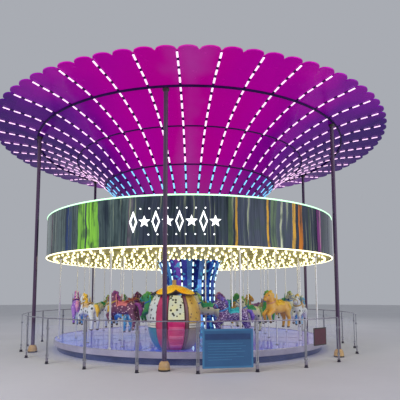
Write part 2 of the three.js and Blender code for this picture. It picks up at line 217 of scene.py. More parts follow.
def tidy_mesh(piece):
    """Merge doubles and point all faces outwards."""
    with editing(piece):
        bpy.ops.mesh.select_all(action="SELECT")
        bpy.ops.mesh.remove_doubles(threshold=MERGE_GAP)
        bpy.ops.mesh.normals_make_consistent(inside=False)
    return piece


def turned(name, outline, steps, start=0.0, sweep=360.0, closed=False, angle=35):
    """A piece turned about the ride's axis from an outline of (radius, height)."""
    ring = list(outline) + list(outline[:1]) if closed else outline
    piece = chain(name, [Vector((0, -radius, height)) for radius, height in ring])
    with editing(piece):
        bpy.ops.mesh.select_all(action="SELECT")
        bpy.ops.mesh.spin(steps=steps, angle=-math.radians(sweep), center=(0, 0, 0),
                          axis=(0, 0, 1))
        bpy.ops.mesh.select_all(action="SELECT")
        bpy.ops.mesh.remove_doubles(threshold=MERGE_GAP)
        if closed and sweep < 360:
            bpy.ops.mesh.fill_holes(sides=0)
            bpy.ops.mesh.select_all(action="SELECT")
        bpy.ops.mesh.normals_make_consistent(inside=False)
    return place(smooth(piece, angle), start)


print("lathe ready")

# %% Outlines, blocks and rings
SPOKE_MARGIN = 0.05


def point_at(azimuth, radius=1.0, height=0.0):
    """The point at an azimuth, a radius and a height."""
    turn = math.radians(azimuth)
    return Vector((radius * math.sin(turn), -radius * math.cos(turn), height))


def circle_outline(radius, height, thickness, corners=10):
    """The outline of a round rod that is bent into a ring."""
    angles = [2 * math.pi * i / corners for i in range(corners)]
    return [(radius + thickness * math.cos(a), height + thickness * math.sin(a)) for a in angles]


def box_outline(inner, outer, bottom, top, chamfer=0.004):
    """The outline of a flat ring with a small chamfer on each corner."""
    return [(inner + chamfer, bottom), (outer - chamfer, bottom), (outer, bottom + chamfer),
            (outer, top - chamfer), (outer - chamfer, top), (inner + chamfer, top),
            (inner, top - chamfer), (inner, bottom + chamfer)]


def block(name, size, centre=(0, 0, 0), bevel=0.004, segments=2):
    """A box with rounded edges."""
    deselect()
    bpy.ops.mesh.primitive_cube_add(size=1, location=centre, scale=size)
    piece = settle(named(bpy.context.object, name))
    return rounded(piece, bevel, segments)


def ring_of(piece, count, step=0.0):
    """Repeat a piece round the ride's axis with an Array about a turned empty."""
    deselect()
    bpy.ops.object.empty_add(rotation=(0, 0, math.radians(step or 360 / count)))
    turner = bpy.context.object
    shape_with(piece, "ARRAY", count=count, use_relative_offset=False, use_object_offset=True,
               offset_object=turner)
    discard(turner)
    return piece


def spoke(name, width, thickness, inner, outer, height, bevel):
    """A narrow flat bar between two radii."""
    length = outer - inner - 2 * SPOKE_MARGIN
    return block(name, (width, length, thickness),
                 (0, -(inner + SPOKE_MARGIN + length / 2), height), bevel, segments=1)


print("blocks and rings ready")

# %% [markdown]
# ## Shader groups
#
# Effects that many finishes share are node groups with named inputs and outputs. The first,
# `worn_skin`, breaks a colour into two shades in soft patches and adds fine unevenness, as sprayed
# and handled surfaces have. `dotted_skin` lays painted dots over it, `glitter_skin` scatters
# flakes, and `brushed_skin` draws the fine lines of rolled and polished metal.

# %% Helpers for node trees
MIX_FACTOR, MIX_A, MIX_B, MIX_RESULT = 0, 6, 7, 2


def put(tree, kind, inputs=None, **settings):
    """Place a node. An input that is a socket is linked, and any other is set."""
    made = tree.nodes.new("ShaderNode" + kind)
    for setting, value in settings.items():
        setattr(made, setting, value)
    for key, value in (inputs or {}).items():
        if isinstance(value, bpy.types.NodeSocket):
            tree.links.new(value, made.inputs[key])
        else:
            made.inputs[key].default_value = value
    return made


def blend(tree, factor, first, second):
    """Mix two colours."""
    mixer = put(tree, "Mix", {MIX_FACTOR: factor, MIX_A: first, MIX_B: second}, data_type="RGBA")
    return mixer.outputs[MIX_RESULT]


def maths(tree, operation, first, second=0.0):
    """One sum on numbers."""
    return put(tree, "Math", {0: first, 1: second}, operation=operation).outputs[0]


def stretch(tree, value, low, high, new_low=0.0, new_high=1.0):
    """Map a number from one range to another, held at its ends."""
    sockets = {"Value": value, "From Min": low, "From Max": high, "To Min": new_low,
               "To Max": new_high}
    return put(tree, "MapRange", sockets).outputs["Result"]


def noise(tree, scale, detail=3.0, vector=None):
    """Noise on the piece's own coordinates, unless another vector is given."""
    spot = vector or put(tree, "TexCoord").outputs["Object"]
    return put(tree, "TexNoise", {"Vector": spot, "Scale": scale, "Detail": detail}).outputs["Fac"]


def rgb(red, green, blue):
    """A colour with full alpha."""
    return (red, green, blue, 1.0)


print("node helpers ready")

# %% Helpers for skins
SKIN_OUTPUTS = {"Color": "Color", "Roughness": "Float", "Height": "Float"}


def new_skin(name, **inputs):
    """A shader group with named inputs that gives a colour, a roughness and a height."""
    tree = bpy.data.node_groups.new(name, "ShaderNodeTree")
    for label, kind in inputs.items():
        tree.interface.new_socket(label, in_out="INPUT", socket_type="NodeSocket" + kind)
    for label, kind in SKIN_OUTPUTS.items():
        tree.interface.new_socket(label, in_out="OUTPUT", socket_type="NodeSocket" + kind)
    given = tree.nodes.new("NodeGroupInput").outputs
    result = tree.nodes.new("NodeGroupOutput").inputs
    return tree, given, result


def give_out(tree, result, color, roughness, height):
    """Link what a group has worked out to its three outputs."""
    for label, socket in zip(SKIN_OUTPUTS, (color, roughness, height)):
        tree.links.new(socket, result[label])
    return tree


print("skin helpers ready")

# %% Worn skin
tree, given, result = new_skin("worn_skin", Color="Color", Shade="Color", Scale="Float",
                               Gloss="Float")
patches = stretch(tree, noise(tree, given["Scale"], 4.0), 0.35, 0.68)
grain = noise(tree, maths(tree, "MULTIPLY", given["Scale"], 14.0), 2.0)
uneven = stretch(tree, grain, 0.2, 0.8, -0.06, 0.08)
worn_skin = give_out(tree, result, blend(tree, patches, given["Color"], given["Shade"]),
                     maths(tree, "ADD", given["Gloss"], uneven), grain)
print("group", worn_skin.name)

# %% Dotted skin
tree, given, result = new_skin("dotted_skin", Color="Color", Shade="Color", Dot="Color",
                               Scale="Float", Size="Float", Gloss="Float")
under = put(tree, "Group", {"Color": given["Color"], "Shade": given["Shade"], "Scale": 5.0,
                            "Gloss": given["Gloss"]}, node_tree=worn_skin).outputs
cells = put(tree, "TexVoronoi", {"Vector": put(tree, "TexCoord").outputs["Object"],
                                 "Scale": given["Scale"], "Randomness": 0.8})
edge = maths(tree, "MULTIPLY", given["Size"], 0.82)
dots = stretch(tree, cells.outputs["Distance"], given["Size"], edge)
dotted_skin = give_out(tree, result, blend(tree, dots, under["Color"], given["Dot"]),
                       under["Roughness"], maths(tree, "ADD", under["Height"], dots))
print("group", dotted_skin.name)

# %% Glitter skin
tree, given, result = new_skin("glitter_skin", Color="Color", Shade="Color", Flake="Color",
                               Patch="Float", Scale="Float", Share="Float", Gloss="Float")
under = put(tree, "Group", {"Color": given["Color"], "Shade": given["Shade"],
                            "Scale": given["Patch"], "Gloss": given["Gloss"]},
            node_tree=worn_skin).outputs
cells = put(tree, "TexVoronoi", {"Vector": put(tree, "TexCoord").outputs["Object"],
                                 "Scale": given["Scale"]})
chance = put(tree, "SeparateColor", {"Color": cells.outputs["Color"]}).outputs["Red"]
flakes = maths(tree, "LESS_THAN", chance, given["Share"])
glint = maths(tree, "MULTIPLY", flakes, -0.15)
glitter_skin = give_out(tree, result, blend(tree, flakes, under["Color"], given["Flake"]),
                        maths(tree, "ADD", under["Roughness"], glint), under["Height"])
print("group", glitter_skin.name)

# %% Brushed skin
tree, given, result = new_skin("brushed_skin", Color="Color", Shade="Color", Along="Vector",
                               Gloss="Float")
drawn = put(tree, "VectorMath", {0: put(tree, "TexCoord").outputs["Object"], 1: given["Along"]},
            operation="MULTIPLY").outputs[0]
lines = noise(tree, 1.0, 5.0, drawn)
shine = stretch(tree, lines, 0.3, 0.7, -0.08, 0.1)
brushed_skin = give_out(
    tree, result, blend(tree, stretch(tree, lines, 0.3, 0.7), given["Color"], given["Shade"]),
    maths(tree, "ADD", given["Gloss"], shine), lines)
print("group", brushed_skin.name)

# %% [markdown]
# ## Finishes
#
# A finish is one Principled shader fed by one of the skins. What is the same all over, such as the
# metallic share or the coat, sits on the shader's own socket. Lamps glow through emission, with a
# slight mottle so that no two look quite alike. Some parts that are no lamps get a weak painted
# glow in their own colours, painted light for the lamps that shine on them.

# %% Making a finish
BUMP_DEPTH = 0.002


def new_finish(name, plain):
    """A material, its tree and its shader, with the plain sockets set."""
    made = bpy.data.materials.new(name)
    made.use_nodes = True
    shader = made.node_tree.nodes["Principled BSDF"]
    for socket, value in plain.items():
        shader.inputs[socket].default_value = value
    return made, made.node_tree, shader


def wire(tree, shader, color, roughness, height, strength):
    """Feed a skin into the shader, with its height through a bump."""
    bump = put(tree, "Bump", {"Strength": strength, "Distance": BUMP_DEPTH, "Height": height})
    tree.links.new(color, shader.inputs["Base Color"])
    tree.links.new(roughness, shader.inputs["Roughness"])
    tree.links.new(bump.outputs["Normal"], shader.inputs["Normal"])


def skinned(name, group, values, plain=None, bump=0.2):
    """A finish made of one of the skins."""
    made, tree, shader = new_finish(name, plain or {})
    skin = put(tree, "Group", values, node_tree=group)
    wire(tree, shader, skin.outputs["Color"], skin.outputs["Roughness"], skin.outputs["Height"],
         bump)
    return made


print("finish makers ready")

# %% Paints, metals and lamps
def painted(name, color, shade, scale=4.0, gloss=0.35, plain=None, bump=0.15):
    """Paint or moulded plastic in two close shades."""
    return skinned(name, worn_skin,
                   {"Color": color, "Shade": shade, "Scale": scale, "Gloss": gloss},
                   plain or {"Coat Weight": 0.3, "Coat Roughness": 0.15}, bump)


def dotted(name, color, shade, dot, scale=9.0, size=0.3, gloss=0.35):
    """Glass fibre painted with dots."""
    return skinned(name, dotted_skin,
                   {"Color": color, "Shade": shade, "Dot": dot, "Scale": scale, "Size": size,
                    "Gloss": gloss}, {"Coat Weight": 0.4, "Coat Roughness": 0.12})


def glittery(name, color, shade, flake, scale=90.0, share=0.15, gloss=0.3, patch=3.0, plain=None):
    """A finish with scattered flakes."""
    return skinned(name, glitter_skin,
                   {"Color": color, "Shade": shade, "Flake": flake, "Scale": scale,
                    "Share": share, "Gloss": gloss, "Patch": patch},
                   plain or {"Coat Weight": 0.5, "Coat Roughness": 0.08}, 0.05)


def metal(name, color, shade, along=(60, 60, 2), gloss=0.28):
    """Drawn or polished metal."""
    return skinned(name, brushed_skin,
                   {"Color": color, "Shade": shade, "Along": along, "Gloss": gloss},
                   {"Metallic": 0.9}, 0.08)


def lamp(name, color, shade, strength, scale=30.0):
    """A lit diffuser or bulb."""
    made, tree, shader = new_finish(name, {"Roughness": 0.4, "Emission Strength": strength})
    glow = blend(tree, stretch(tree, noise(tree, scale), 0.35, 0.65), color, shade)
    tree.links.new(glow, shader.inputs["Emission Color"])
    tree.links.new(glow, shader.inputs["Base Color"])
    return made


def with_painted_glow(finish, strength):
    """Paint a glow into a finish in its own colours, as painted light from the lamps round it."""
    tree = finish.node_tree
    shader = tree.nodes["Principled BSDF"]
    color = shader.inputs["Base Color"].links[0].from_socket
    tree.links.new(color, shader.inputs["Emission Color"])
    shader.inputs["Emission Strength"].default_value = strength
    return finish


print("paints, metals and lamps ready")

# %% [markdown]
# The palette: lamps in pink, cyan, white, mint and warm white, polished steel, the mauve paint of
# the posts and the ochre of their bell feet, navy and lilac on the platform.

# %% Shared finishes
lamp_pink = lamp("lamp_pink", rgb(1.0, 0.72, 0.96), rgb(1.0, 0.55, 0.9), 1.25)
lamp_cyan = lamp("lamp_cyan", rgb(0.3, 0.75, 1.0), rgb(0.16, 0.55, 1.0), 1.15)
lamp_ice = lamp("lamp_ice", rgb(0.8, 0.97, 1.0), rgb(0.5, 0.85, 1.0), 1.4)
lamp_white = lamp("lamp_white", rgb(1.0, 0.99, 0.96), rgb(0.92, 0.97, 1.0), 1.6)
lamp_mint = lamp("lamp_mint", rgb(0.6, 1.0, 0.66), rgb(0.42, 1.0, 0.5), 1.35)
lamp_warm = lamp("lamp_warm", rgb(1.0, 0.94, 0.62), rgb(1.0, 0.88, 0.46), 2.3)
steel = metal("steel", rgb(0.3, 0.3, 0.34), rgb(0.46, 0.46, 0.5))
# bright_steel and deck_sparkle get a painted glow: painted light for the lamps that shine on them.
bright_steel = with_painted_glow(
    metal("bright_steel", rgb(0.82, 0.8, 0.78), rgb(0.66, 0.66, 0.72)), 0.12)
rail_steel = metal("rail_steel", rgb(0.3, 0.28, 0.34), rgb(0.46, 0.44, 0.52), (8, 8, 60), 0.2)
dark_steel = metal("dark_steel", rgb(0.05, 0.05, 0.07), rgb(0.09, 0.08, 0.11), (30, 30, 8), 0.4)
seam_paint = painted("seam_paint", rgb(0.02, 0.003, 0.07), rgb(0.035, 0.006, 0.11), 6.0, 0.5,
                     {"Specular IOR Level": 0.2})
post_paint = skinned("post_paint", brushed_skin,
                     {"Color": rgb(0.07, 0.045, 0.1), "Shade": rgb(0.12, 0.07, 0.13),
                      "Along": (14, 14, 0.5), "Gloss": 0.32}, {"Metallic": 0.45}, 0.05)
foot_gold = painted("foot_gold", rgb(0.5, 0.3, 0.1), rgb(0.62, 0.4, 0.17), 9.0, 0.42)
rim_black = painted("rim_black", rgb(0.02, 0.014, 0.012), rgb(0.04, 0.028, 0.024), 12.0, 0.5)
base_navy = painted("base_navy", rgb(0.022, 0.04, 0.14), rgb(0.04, 0.06, 0.2), 1.5, 0.35)
skirt_lilac = painted("skirt_lilac", rgb(0.36, 0.33, 0.45), rgb(0.5, 0.46, 0.6), 2.0, 0.4)
deck_sparkle = with_painted_glow(
    glittery("deck_sparkle", rgb(0.06, 0.14, 0.85), rgb(0.34, 0.22, 0.66), rgb(0.6, 0.6, 1.0),
             45.0, 0.05, 0.16, 0.4, {"Coat Weight": 0.5, "Coat Roughness": 0.04}), 0.24)
pale_trim = metal("pale_trim", rgb(0.7, 0.66, 0.72), rgb(0.55, 0.5, 0.6), (6, 6, 60))
print("shared finishes", len(bpy.data.materials))

# %% [markdown]
# A finished piece gets its paint and is then put on its body, and the imported nodes whose place it
# takes are hidden. What stands in a ring is either repeated as one piece or, where each copy stands
# for a node of its own, copied one by one.

# %% Painting a piece and putting it on its body
def coat(piece, finish, test=None):
    """Give a finish to a piece, or only to those of its faces whose middle passes a test."""
    piece.data.materials.append(finish)
    slot = len(piece.data.materials) - 1
    for face in piece.data.polygons:
        if test is None or test(face.center):
            face.material_index = slot
    return piece


def show(piece, body, slot, *nodes):
    """Put a finished piece on its body and hide the nodes it stands for; the slot is not used."""
    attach(piece, body)
    if nodes:
        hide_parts(*nodes)
    return piece


def show_ring(piece, count, start, finish, body, slot):
    """Repeat a piece in equal steps round the axis, paint it and put it on its body."""
    return show(coat(place(ring_of(piece, count), start), finish), body, slot)


def set_out(mould, label, count, start, radius, body, slot, node):
    """Copy a mould in equal steps round the axis, each copy for a numbered node of its own."""
    for i in range(count):
        piece = place(twin(mould, f"{label}_{i + 1}"), start + 360 / count * i, radius)
        show(piece, body, slot, f"{node}_{i + 1}")
    print(node, count, "faces", len(mould.data.polygons))
    discard(mould)


print("bodies ready")

# %% [markdown]
# ## The platform
#
# The base is a shallow pan of painted steel, and the deck turns on it. Both are turned in 144
# steps, so that their edges look round. Each horse's pole runs through the deck in a sleeve: the
# holes are drilled by one Boolean with all the drills joined.

# %% Places of the horses and the fixed sizes of the platform
OUTER_ROW = {"name": "outer", "radius": 3.6, "start": -50.5, "step": 22.5, "coats": [
    "white", "maroon", None, "night", "gold", "white", "sky", "cream", "violet", "green", "gold",
    "white", "maroon", "cream", "sky", "violet"]}
INNER_ROW = {"name": "inner", "radius": 2.6, "start": -50.5, "step": 30.0, "coats": [
    "sky", "green", "cream", "cream", "green", "white", "gold", "violet", "sky", "maroon",
    "cream", "white"]}
ROUND = 144
DRILL_SIDES = 20
DRILL_MARGIN = 0.06
BASE_RADIUS = 4.13
BASE_INNER = 4.06
BASE_HOLE = 1.0
BASE_TOP = 0.15
PAN_FLOOR = 0.012
HUB_RADIUS = 1.32
HUB_INNER = 1.2
HUB_TOP = 0.1597
DECK_RADIUS = 4.23
DECK_BOTTOM = 0.16
DECK_TOP = 0.3
DECK_HOLE = 1.15
POLE_RADIUS = 0.017


def horse_places():
    """Name, azimuth, radius and coat of each horse."""
    places = []
    for row in (OUTER_ROW, INNER_ROW):
        for i, color in enumerate(row["coats"]):
            if color:
                azimuth = row["start"] + row["step"] * i
                places.append((f"{row['name']}_horse_{i + 1}", azimuth, row["radius"], color))
    return places


def drill_holes(piece, radius, bottom, top):
    """Cut a round hole for each horse's pole through a plate from its bottom to its top."""
    drills = []
    for _, azimuth, circle, _ in horse_places():
        deselect()
        bpy.ops.mesh.primitive_cylinder_add(vertices=DRILL_SIDES, radius=radius,
                                            depth=top - bottom + 2 * DRILL_MARGIN)
        drills.append(place(bpy.context.object, azimuth, circle, (top + bottom) / 2))
    drill = joined("drill", drills)
    shape_with(piece, "BOOLEAN", operation="DIFFERENCE", solver="EXACT", object=drill)
    discard(drill)
    return piece


print("horses", len(horse_places()))

# %% Base, deck and its trim
BASE_CHAMFER = 0.01
DECK_CLEARANCE = 0.006
base = turned("base_pan", [
    (BASE_HOLE, 0.0), (BASE_RADIUS - BASE_CHAMFER, 0.0), (BASE_RADIUS, BASE_CHAMFER),
    (BASE_RADIUS, BASE_TOP - BASE_CHAMFER), (BASE_RADIUS - BASE_CHAMFER, BASE_TOP),
    (BASE_INNER, BASE_TOP), (BASE_INNER, PAN_FLOOR), (HUB_RADIUS, PAN_FLOOR),
    (HUB_RADIUS, HUB_TOP), (HUB_INNER, HUB_TOP), (HUB_INNER, BASE_TOP), (BASE_HOLE, BASE_TOP)],
    ROUND, closed=True)
coat(base, base_navy)
show(base, "root", "base_paint", "base")

deck = turned("deck_plate",
              box_outline(DECK_HOLE, DECK_RADIUS, DECK_BOTTOM, DECK_TOP, chamfer=0.006), ROUND,
              closed=True)
drill_holes(deck, POLE_RADIUS + DECK_CLEARANCE, DECK_BOTTOM, DECK_TOP)
smooth(deck)
coat(deck, deck_sparkle)
coat(deck, skirt_lilac, lambda spot: math.hypot(spot.x, spot.y) > DECK_RADIUS - 0.005)
show(deck, "turntable", "deck_floor", "deck")

deck_edge = turned("deck_edge_trim", circle_outline(DECK_RADIUS - 0.012, DECK_TOP + 0.004, 0.011),
                   ROUND, closed=True)
coat(deck_edge, pale_trim)
show(deck_edge, "turntable", "deck_floor")
print("deck faces", len(deck.data.polygons))

# %% [markdown]
# The deck is laid in sections. Each joint is a narrow steel strip between the inner and the outer
# edge, and each pole has a steel sleeve in the floor. One strip is modelled and repeated.

# %% Deck joints and pole sleeves
SECTION_COUNT = 16
SECTION_START = 5.75
JOINT_HEIGHT = 0.004
SLEEVE_OUTLINE = [(0.024, 0.301), (0.05, 0.301), (0.046, 0.309), (0.03, 0.318), (0.024, 0.318)]

joint = spoke("deck_joints", 0.022, JOINT_HEIGHT, DECK_HOLE, DECK_RADIUS,
              DECK_TOP + JOINT_HEIGHT / 2, bevel=0.001)
show_ring(joint, SECTION_COUNT, SECTION_START, steel, "turntable", "deck_floor")

sleeve = turned("sleeve", SLEEVE_OUTLINE, DRILL_SIDES, closed=True)
sleeves = [place(twin(sleeve, "sleeve_copy"), azimuth, circle)
           for _, azimuth, circle, _ in horse_places()]
discard(sleeve)
sleeves = coat(joined("deck_sleeves", sleeves), steel)
show(sleeves, "turntable", "pole_steel")
print("sleeves", len(horse_places()))

# %% [markdown]
# ## The ceiling and the drum
#
# The ceiling is olive-gold sheet crowded with warm bulbs. A bulb is a small turned drop with few
# faces, because there are hundreds: one is copied into each ring, and an Array repeats it. The
# rings keep clear of the circles on which the poles stand.

# %% Ceiling plate with ribs
CEILING_BOTTOM = 2.7
CEILING_TOP = 2.74
CEILING_RADIUS = 4.46
CEILING_HOLE = 1.1
CEILING_CLEARANCE = 0.008
# The ceiling sheet gets a painted glow, painted light for the light of its own bulbs on it.
gold_sheet = with_painted_glow(skinned(
    "gold_sheet", worn_skin, {"Color": rgb(0.2, 0.17, 0.01), "Shade": rgb(0.36, 0.31, 0.04),
                              "Scale": 2.5, "Gloss": 0.35}, {"Metallic": 0.3}, 0.2), 0.48)
ceiling = turned("ceiling_plate",
                 box_outline(CEILING_HOLE, CEILING_RADIUS, CEILING_BOTTOM, CEILING_TOP), ROUND,
                 closed=True)
drill_holes(ceiling, POLE_RADIUS + CEILING_CLEARANCE, CEILING_BOTTOM, CEILING_TOP)
smooth(ceiling)
coat(ceiling, gold_sheet)
show(ceiling, "turntable", "ceiling_panel", "ceiling")

RIB_COUNT = 24
RIB_START = 3.0
RIB_HEIGHT = 0.012
rib = spoke("ceiling_ribs", 0.03, RIB_HEIGHT, CEILING_HOLE, CEILING_RADIUS,
            CEILING_BOTTOM - RIB_HEIGHT / 2, bevel=0.003)
show_ring(rib, RIB_COUNT, RIB_START, gold_sheet, "turntable", "ceiling_panel")
print("ceiling faces", len(ceiling.data.polygons))

# %% Bulbs
BULB_OUTLINE = [(0.0, -0.062), (0.021, -0.054), (0.03, -0.033), (0.024, -0.012), (0.016, 0.0)]
BULB_RINGS = [1.26, 1.56, 1.86, 2.16, 2.44, 2.76, 3.06, 3.36, 3.78, 4.0, 4.3]
BULB_SPACING = 0.34
BULB_OFFSET = 7.0
bulb = turned("bulb", BULB_OUTLINE, steps=8, angle=80)
bulb_rings = []
for i, radius in enumerate(BULB_RINGS):
    count = round(2 * math.pi * radius / BULB_SPACING)
    ring = place(twin(bulb, f"bulb_ring_{i}"), BULB_OFFSET * i, radius, CEILING_BOTTOM)
    bulb_rings.append(ring_of(ring, count))
discard(bulb)
bulbs = coat(joined("ceiling_bulbs", bulb_rings), lamp_warm)
show(bulbs, "turntable", "ceiling_panel")
print("bulb faces", len(bulbs.data.polygons))

# %% [markdown]
# The drum is a tall band of dark mirror sheet. A mirror bent into a drum stretches whatever stands
# round it into upright streaks, so its finish paints these reflections by the azimuth: painted
# reflections of lime, amber and moss bands and thin pale lines on a ground of slate and charcoal.
# The sheet also glows a little in these colours as painted light. The azimuth comes from the arc
# tangent of the object coordinates, so the streaks stay on the sheet from any side. Front and back
# are alike.

# %% Drum finish
DRUM_RADIUS = 4.515
DRUM_BOTTOM = 2.693
DRUM_TOP = 3.869
DRUM_INNER = 4.465
ROOF_TOP = 3.745
ROOF_BOTTOM = 3.7
ROOF_HOLE = 1.7
EDGE_ROUND = 0.012


def azimuth_of(tree):
    """The azimuth about the ride's axis, from 0 to 1, starting behind the ride."""
    spot = put(tree, "SeparateXYZ", {"Vector": put(tree, "TexCoord").outputs["Object"]})
    turn = maths(tree, "ARCTAN2", spot.outputs["X"],
                 maths(tree, "MULTIPLY", spot.outputs["Y"], -1.0))
    return stretch(tree, turn, -math.pi, math.pi), spot


def ramp(tree, factor, stops, steps="LINEAR"):
    """A colour ramp through (position, colour) stops, blended or in steps."""
    made = put(tree, "ValToRGB", {"Fac": factor})
    made.color_ramp.interpolation = steps
    colors = made.color_ramp.elements
    colors[0].position, colors[0].color = stops[0]
    colors[1].position, colors[1].color = stops[-1]
    for position, color in stops[1:-1]:
        colors.new(position).color = color
    return made.outputs["Color"]


CHARCOAL, SLATE, NAVY = rgb(0.036, 0.045, 0.072), rgb(0.07, 0.105, 0.105), rgb(0.01, 0.035, 0.15)
LIME, MOSS, AMBER = rgb(0.25, 0.6, 0.06), rgb(0.07, 0.11, 0.06), rgb(0.5, 0.27, 0.02)
ORANGE, PLUM, MAUVE = rgb(0.62, 0.2, 0.02), rgb(0.36, 0.01, 0.3), rgb(0.12, 0.09, 0.13)
PALE = rgb(0.4, 0.44, 0.3)
DRUM_REFLECTION_BANDS = [(-58, -56.5, MAUVE), (-45, -41.5, NAVY), (-38, -34.6, LIME), (-33.8, -29, LIME),
              (-22.1, -21.8, PALE), (-18.9, -17.3, MAUVE), (11.2, 12.5, MOSS), (12.7, 13.9, AMBER),
              (23.9, 24.5, AMBER), (24.7, 27, MOSS), (28.6, 28.9, PALE), (33.3, 34.9, AMBER),
              (35.9, 38.2, ORANGE), (41.5, 42.2, MOSS), (47.6, 50.4, PLUM)]
SLATE_ENDS = -18


def reflection_band_stops():
    """The ramp's stops: each painted reflection's colour, then the ground, slate first, then dark.
    """
    stops = [(-90, SLATE)]
    for low, high, color in DRUM_REFLECTION_BANDS:
        stops += [(low, color), (high, CHARCOAL if high > SLATE_ENDS else SLATE)]
    return [(azimuth / 180 + 0.5, color) for azimuth, color in stops]


print("bands", len(DRUM_REFLECTION_BANDS), "stops", len(reflection_band_stops()))

# %% Drum mirror
def streaks(tree, turn, spot, count, drift):
    """Noise drawn out into upright streaks, about so many to a turn."""
    line = put(tree, "CombineXYZ", {"X": maths(tree, "MULTIPLY", turn, count),
                                    "Y": maths(tree, "MULTIPLY", spot.outputs["Z"], drift)})
    return noise(tree, 1.0, 5.0, line.outputs[0])


def streaked_mirror():
    """Dark mirror sheet with painted reflections as upright streaks and a painted glow."""
    made, tree, shader = new_finish("drum_mirror", {"Metallic": 0.5, "Emission Strength": 0.44})
    turn, spot = azimuth_of(tree)
    sway = maths(tree, "MULTIPLY", maths(tree, "SUBTRACT", noise(tree, 1.1, 3.0), 0.5), 0.006)
    swayed = maths(tree, "ADD", turn, sway)
    half_turn = maths(tree, "FRACT", maths(tree, "ADD", maths(tree, "MULTIPLY", swayed, 2.0), 0.5))
    # The bands, streaks and pale lines below are painted reflections, and the colour also feeds a
    # painted glow.
    bands = ramp(tree, half_turn, reflection_band_stops(), "CONSTANT")
    fine = streaks(tree, swayed, spot, 420.0, 0.35)
    broad = streaks(tree, swayed, spot, 70.0, 0.2)
    # More pale glint lines towards the bottom: painted reflections.
    more_glints_low = stretch(tree, spot.outputs["Z"], DRUM_TOP, DRUM_BOTTOM, 0.0, 0.3)
    thin = stretch(tree, maths(tree, "ADD", fine, maths(tree, "MULTIPLY", more_glints_low, 0.12)),
                   0.61, 0.66)
    broken = streaks(tree, swayed, spot, 150.0, 2.4)
    color = blend(tree, stretch(tree, broken, 0.5, 0.62, 0.0, 0.6), bands, rgb(0.03, 0.05, 0.05))
    color = blend(tree, maths(tree, "MULTIPLY", thin, 0.7), color, rgb(0.3, 0.34, 0.2))
    color = blend(tree, maths(tree, "MULTIPLY", stretch(tree, fine, 0.52, 0.38), 0.8), color,
                  rgb(0.006, 0.012, 0.02))
    color = blend(tree, maths(tree, "MULTIPLY", stretch(tree, broad, 0.55, 0.75), 0.5), color,
                  rgb(0.07, 0.1, 0.1))
    color = blend(tree, maths(tree, "MULTIPLY", stretch(tree, broad, 0.48, 0.3), 0.7), color,
                  rgb(0.008, 0.014, 0.04))
    rough = stretch(tree, fine, 0.3, 0.7, 0.1, 0.22)
    wire(tree, shader, color, rough, fine, 0.08)
    tree.links.new(color, shader.inputs["Emission Color"])
    return made


drum_mirror = streaked_mirror()
roof_grey = painted("roof_grey", rgb(0.1, 0.11, 0.13), rgb(0.15, 0.16, 0.18), 1.5, 0.6,
                    {"Specular IOR Level": 0.2})
print("drum finish ready")

# %% [markdown]
# The band is turned in one piece with its roof, and only its outer face gets the mirror. A lit ring
# runs along each edge, mint above and warm white below. Fine upright seams show where the sheets
# meet: one is a slim block, and an Array repeats it.

# %% Drum shell, rims and seams
drum = turned("drum_shell", [
    (DRUM_RADIUS - 0.02, DRUM_BOTTOM), (DRUM_RADIUS, DRUM_BOTTOM + EDGE_ROUND),
    (DRUM_RADIUS, DRUM_TOP - EDGE_ROUND), (DRUM_RADIUS - 0.02, DRUM_TOP),
    (DRUM_INNER, DRUM_TOP - 0.01), (DRUM_INNER, ROOF_TOP), (4.2, ROOF_TOP),
    (ROOF_HOLE + 0.02, ROOF_TOP - 0.01), (ROOF_HOLE, ROOF_TOP - 0.02),
    (ROOF_HOLE, ROOF_BOTTOM + 0.005), (DRUM_INNER, ROOF_BOTTOM),
    (DRUM_INNER, CEILING_TOP + 0.005), (4.478, DRUM_BOTTOM + 0.01)], ROUND, closed=True)
coat(drum, roof_grey)
coat(drum, drum_mirror, lambda spot: math.hypot(spot.x, spot.y) > DRUM_RADIUS - EDGE_ROUND)
show(drum, "turntable", "drum_mirror", "drum")

for name, radius, height, thickness, finish in (
        ("drum_top_light", DRUM_RADIUS - 0.008, DRUM_TOP, 0.02, lamp_mint),
        ("drum_bottom_light", DRUM_RADIUS - 0.004, DRUM_BOTTOM, 0.017, lamp_warm)):
    light = turned(name, circle_outline(radius, height, thickness), ROUND, closed=True)
    show(coat(light, finish), "turntable", "drum_mirror")

SHEET_COUNT = 32
SHEET_START = 2.0
SEAM_MARGIN = 0.04
seam = block("drum_seams", (0.008, 0.006, DRUM_TOP - DRUM_BOTTOM - 2 * SEAM_MARGIN),
             (0, -DRUM_RADIUS - 0.001, (DRUM_TOP + DRUM_BOTTOM) / 2), bevel=0.002, segments=1)
show_ring(seam, SHEET_COUNT, SHEET_START, dark_steel, "turntable", "drum_mirror")
print("drum faces", len(drum.data.polygons))

# %% [markdown]
# The front of the drum carries a row of eight lit figures. They are plain stars and lozenges. A
# star starts as a circle of ten vertices of which every second one is drawn in; a lozenge is a
# circle of four vertices with an inset frame. Both get depth by extrusion and a small bevel. A row
# of small lit studs runs above the figures and another one below them.

# %% Stars, lozenges and studs
FIGURE_DEPTH = 0.03
STAR_WAIST = 0.42
LOZENGE_BORDER = 0.03
STUD_RADIUS = 0.018


def standing_circle(name, corners, radius):
    """A filled circle that stands upright and faces the visitor."""
    deselect()
    bpy.ops.mesh.primitive_circle_add(vertices=corners, radius=radius, fill_type="NGON",
                                      rotation=(math.pi / 2, 0, 0))
    return settle(named(bpy.context.object, name))


def pick_verts(piece, test):
    """In edit mode, select only the vertices that pass a test on their index and place."""
    shape = bmesh.from_edit_mesh(piece.data)
    for vertex in shape.verts:
        vertex.select = test(vertex.index, vertex.co)
    shape.select_flush_mode()
    bmesh.update_edit_mesh(piece.data)


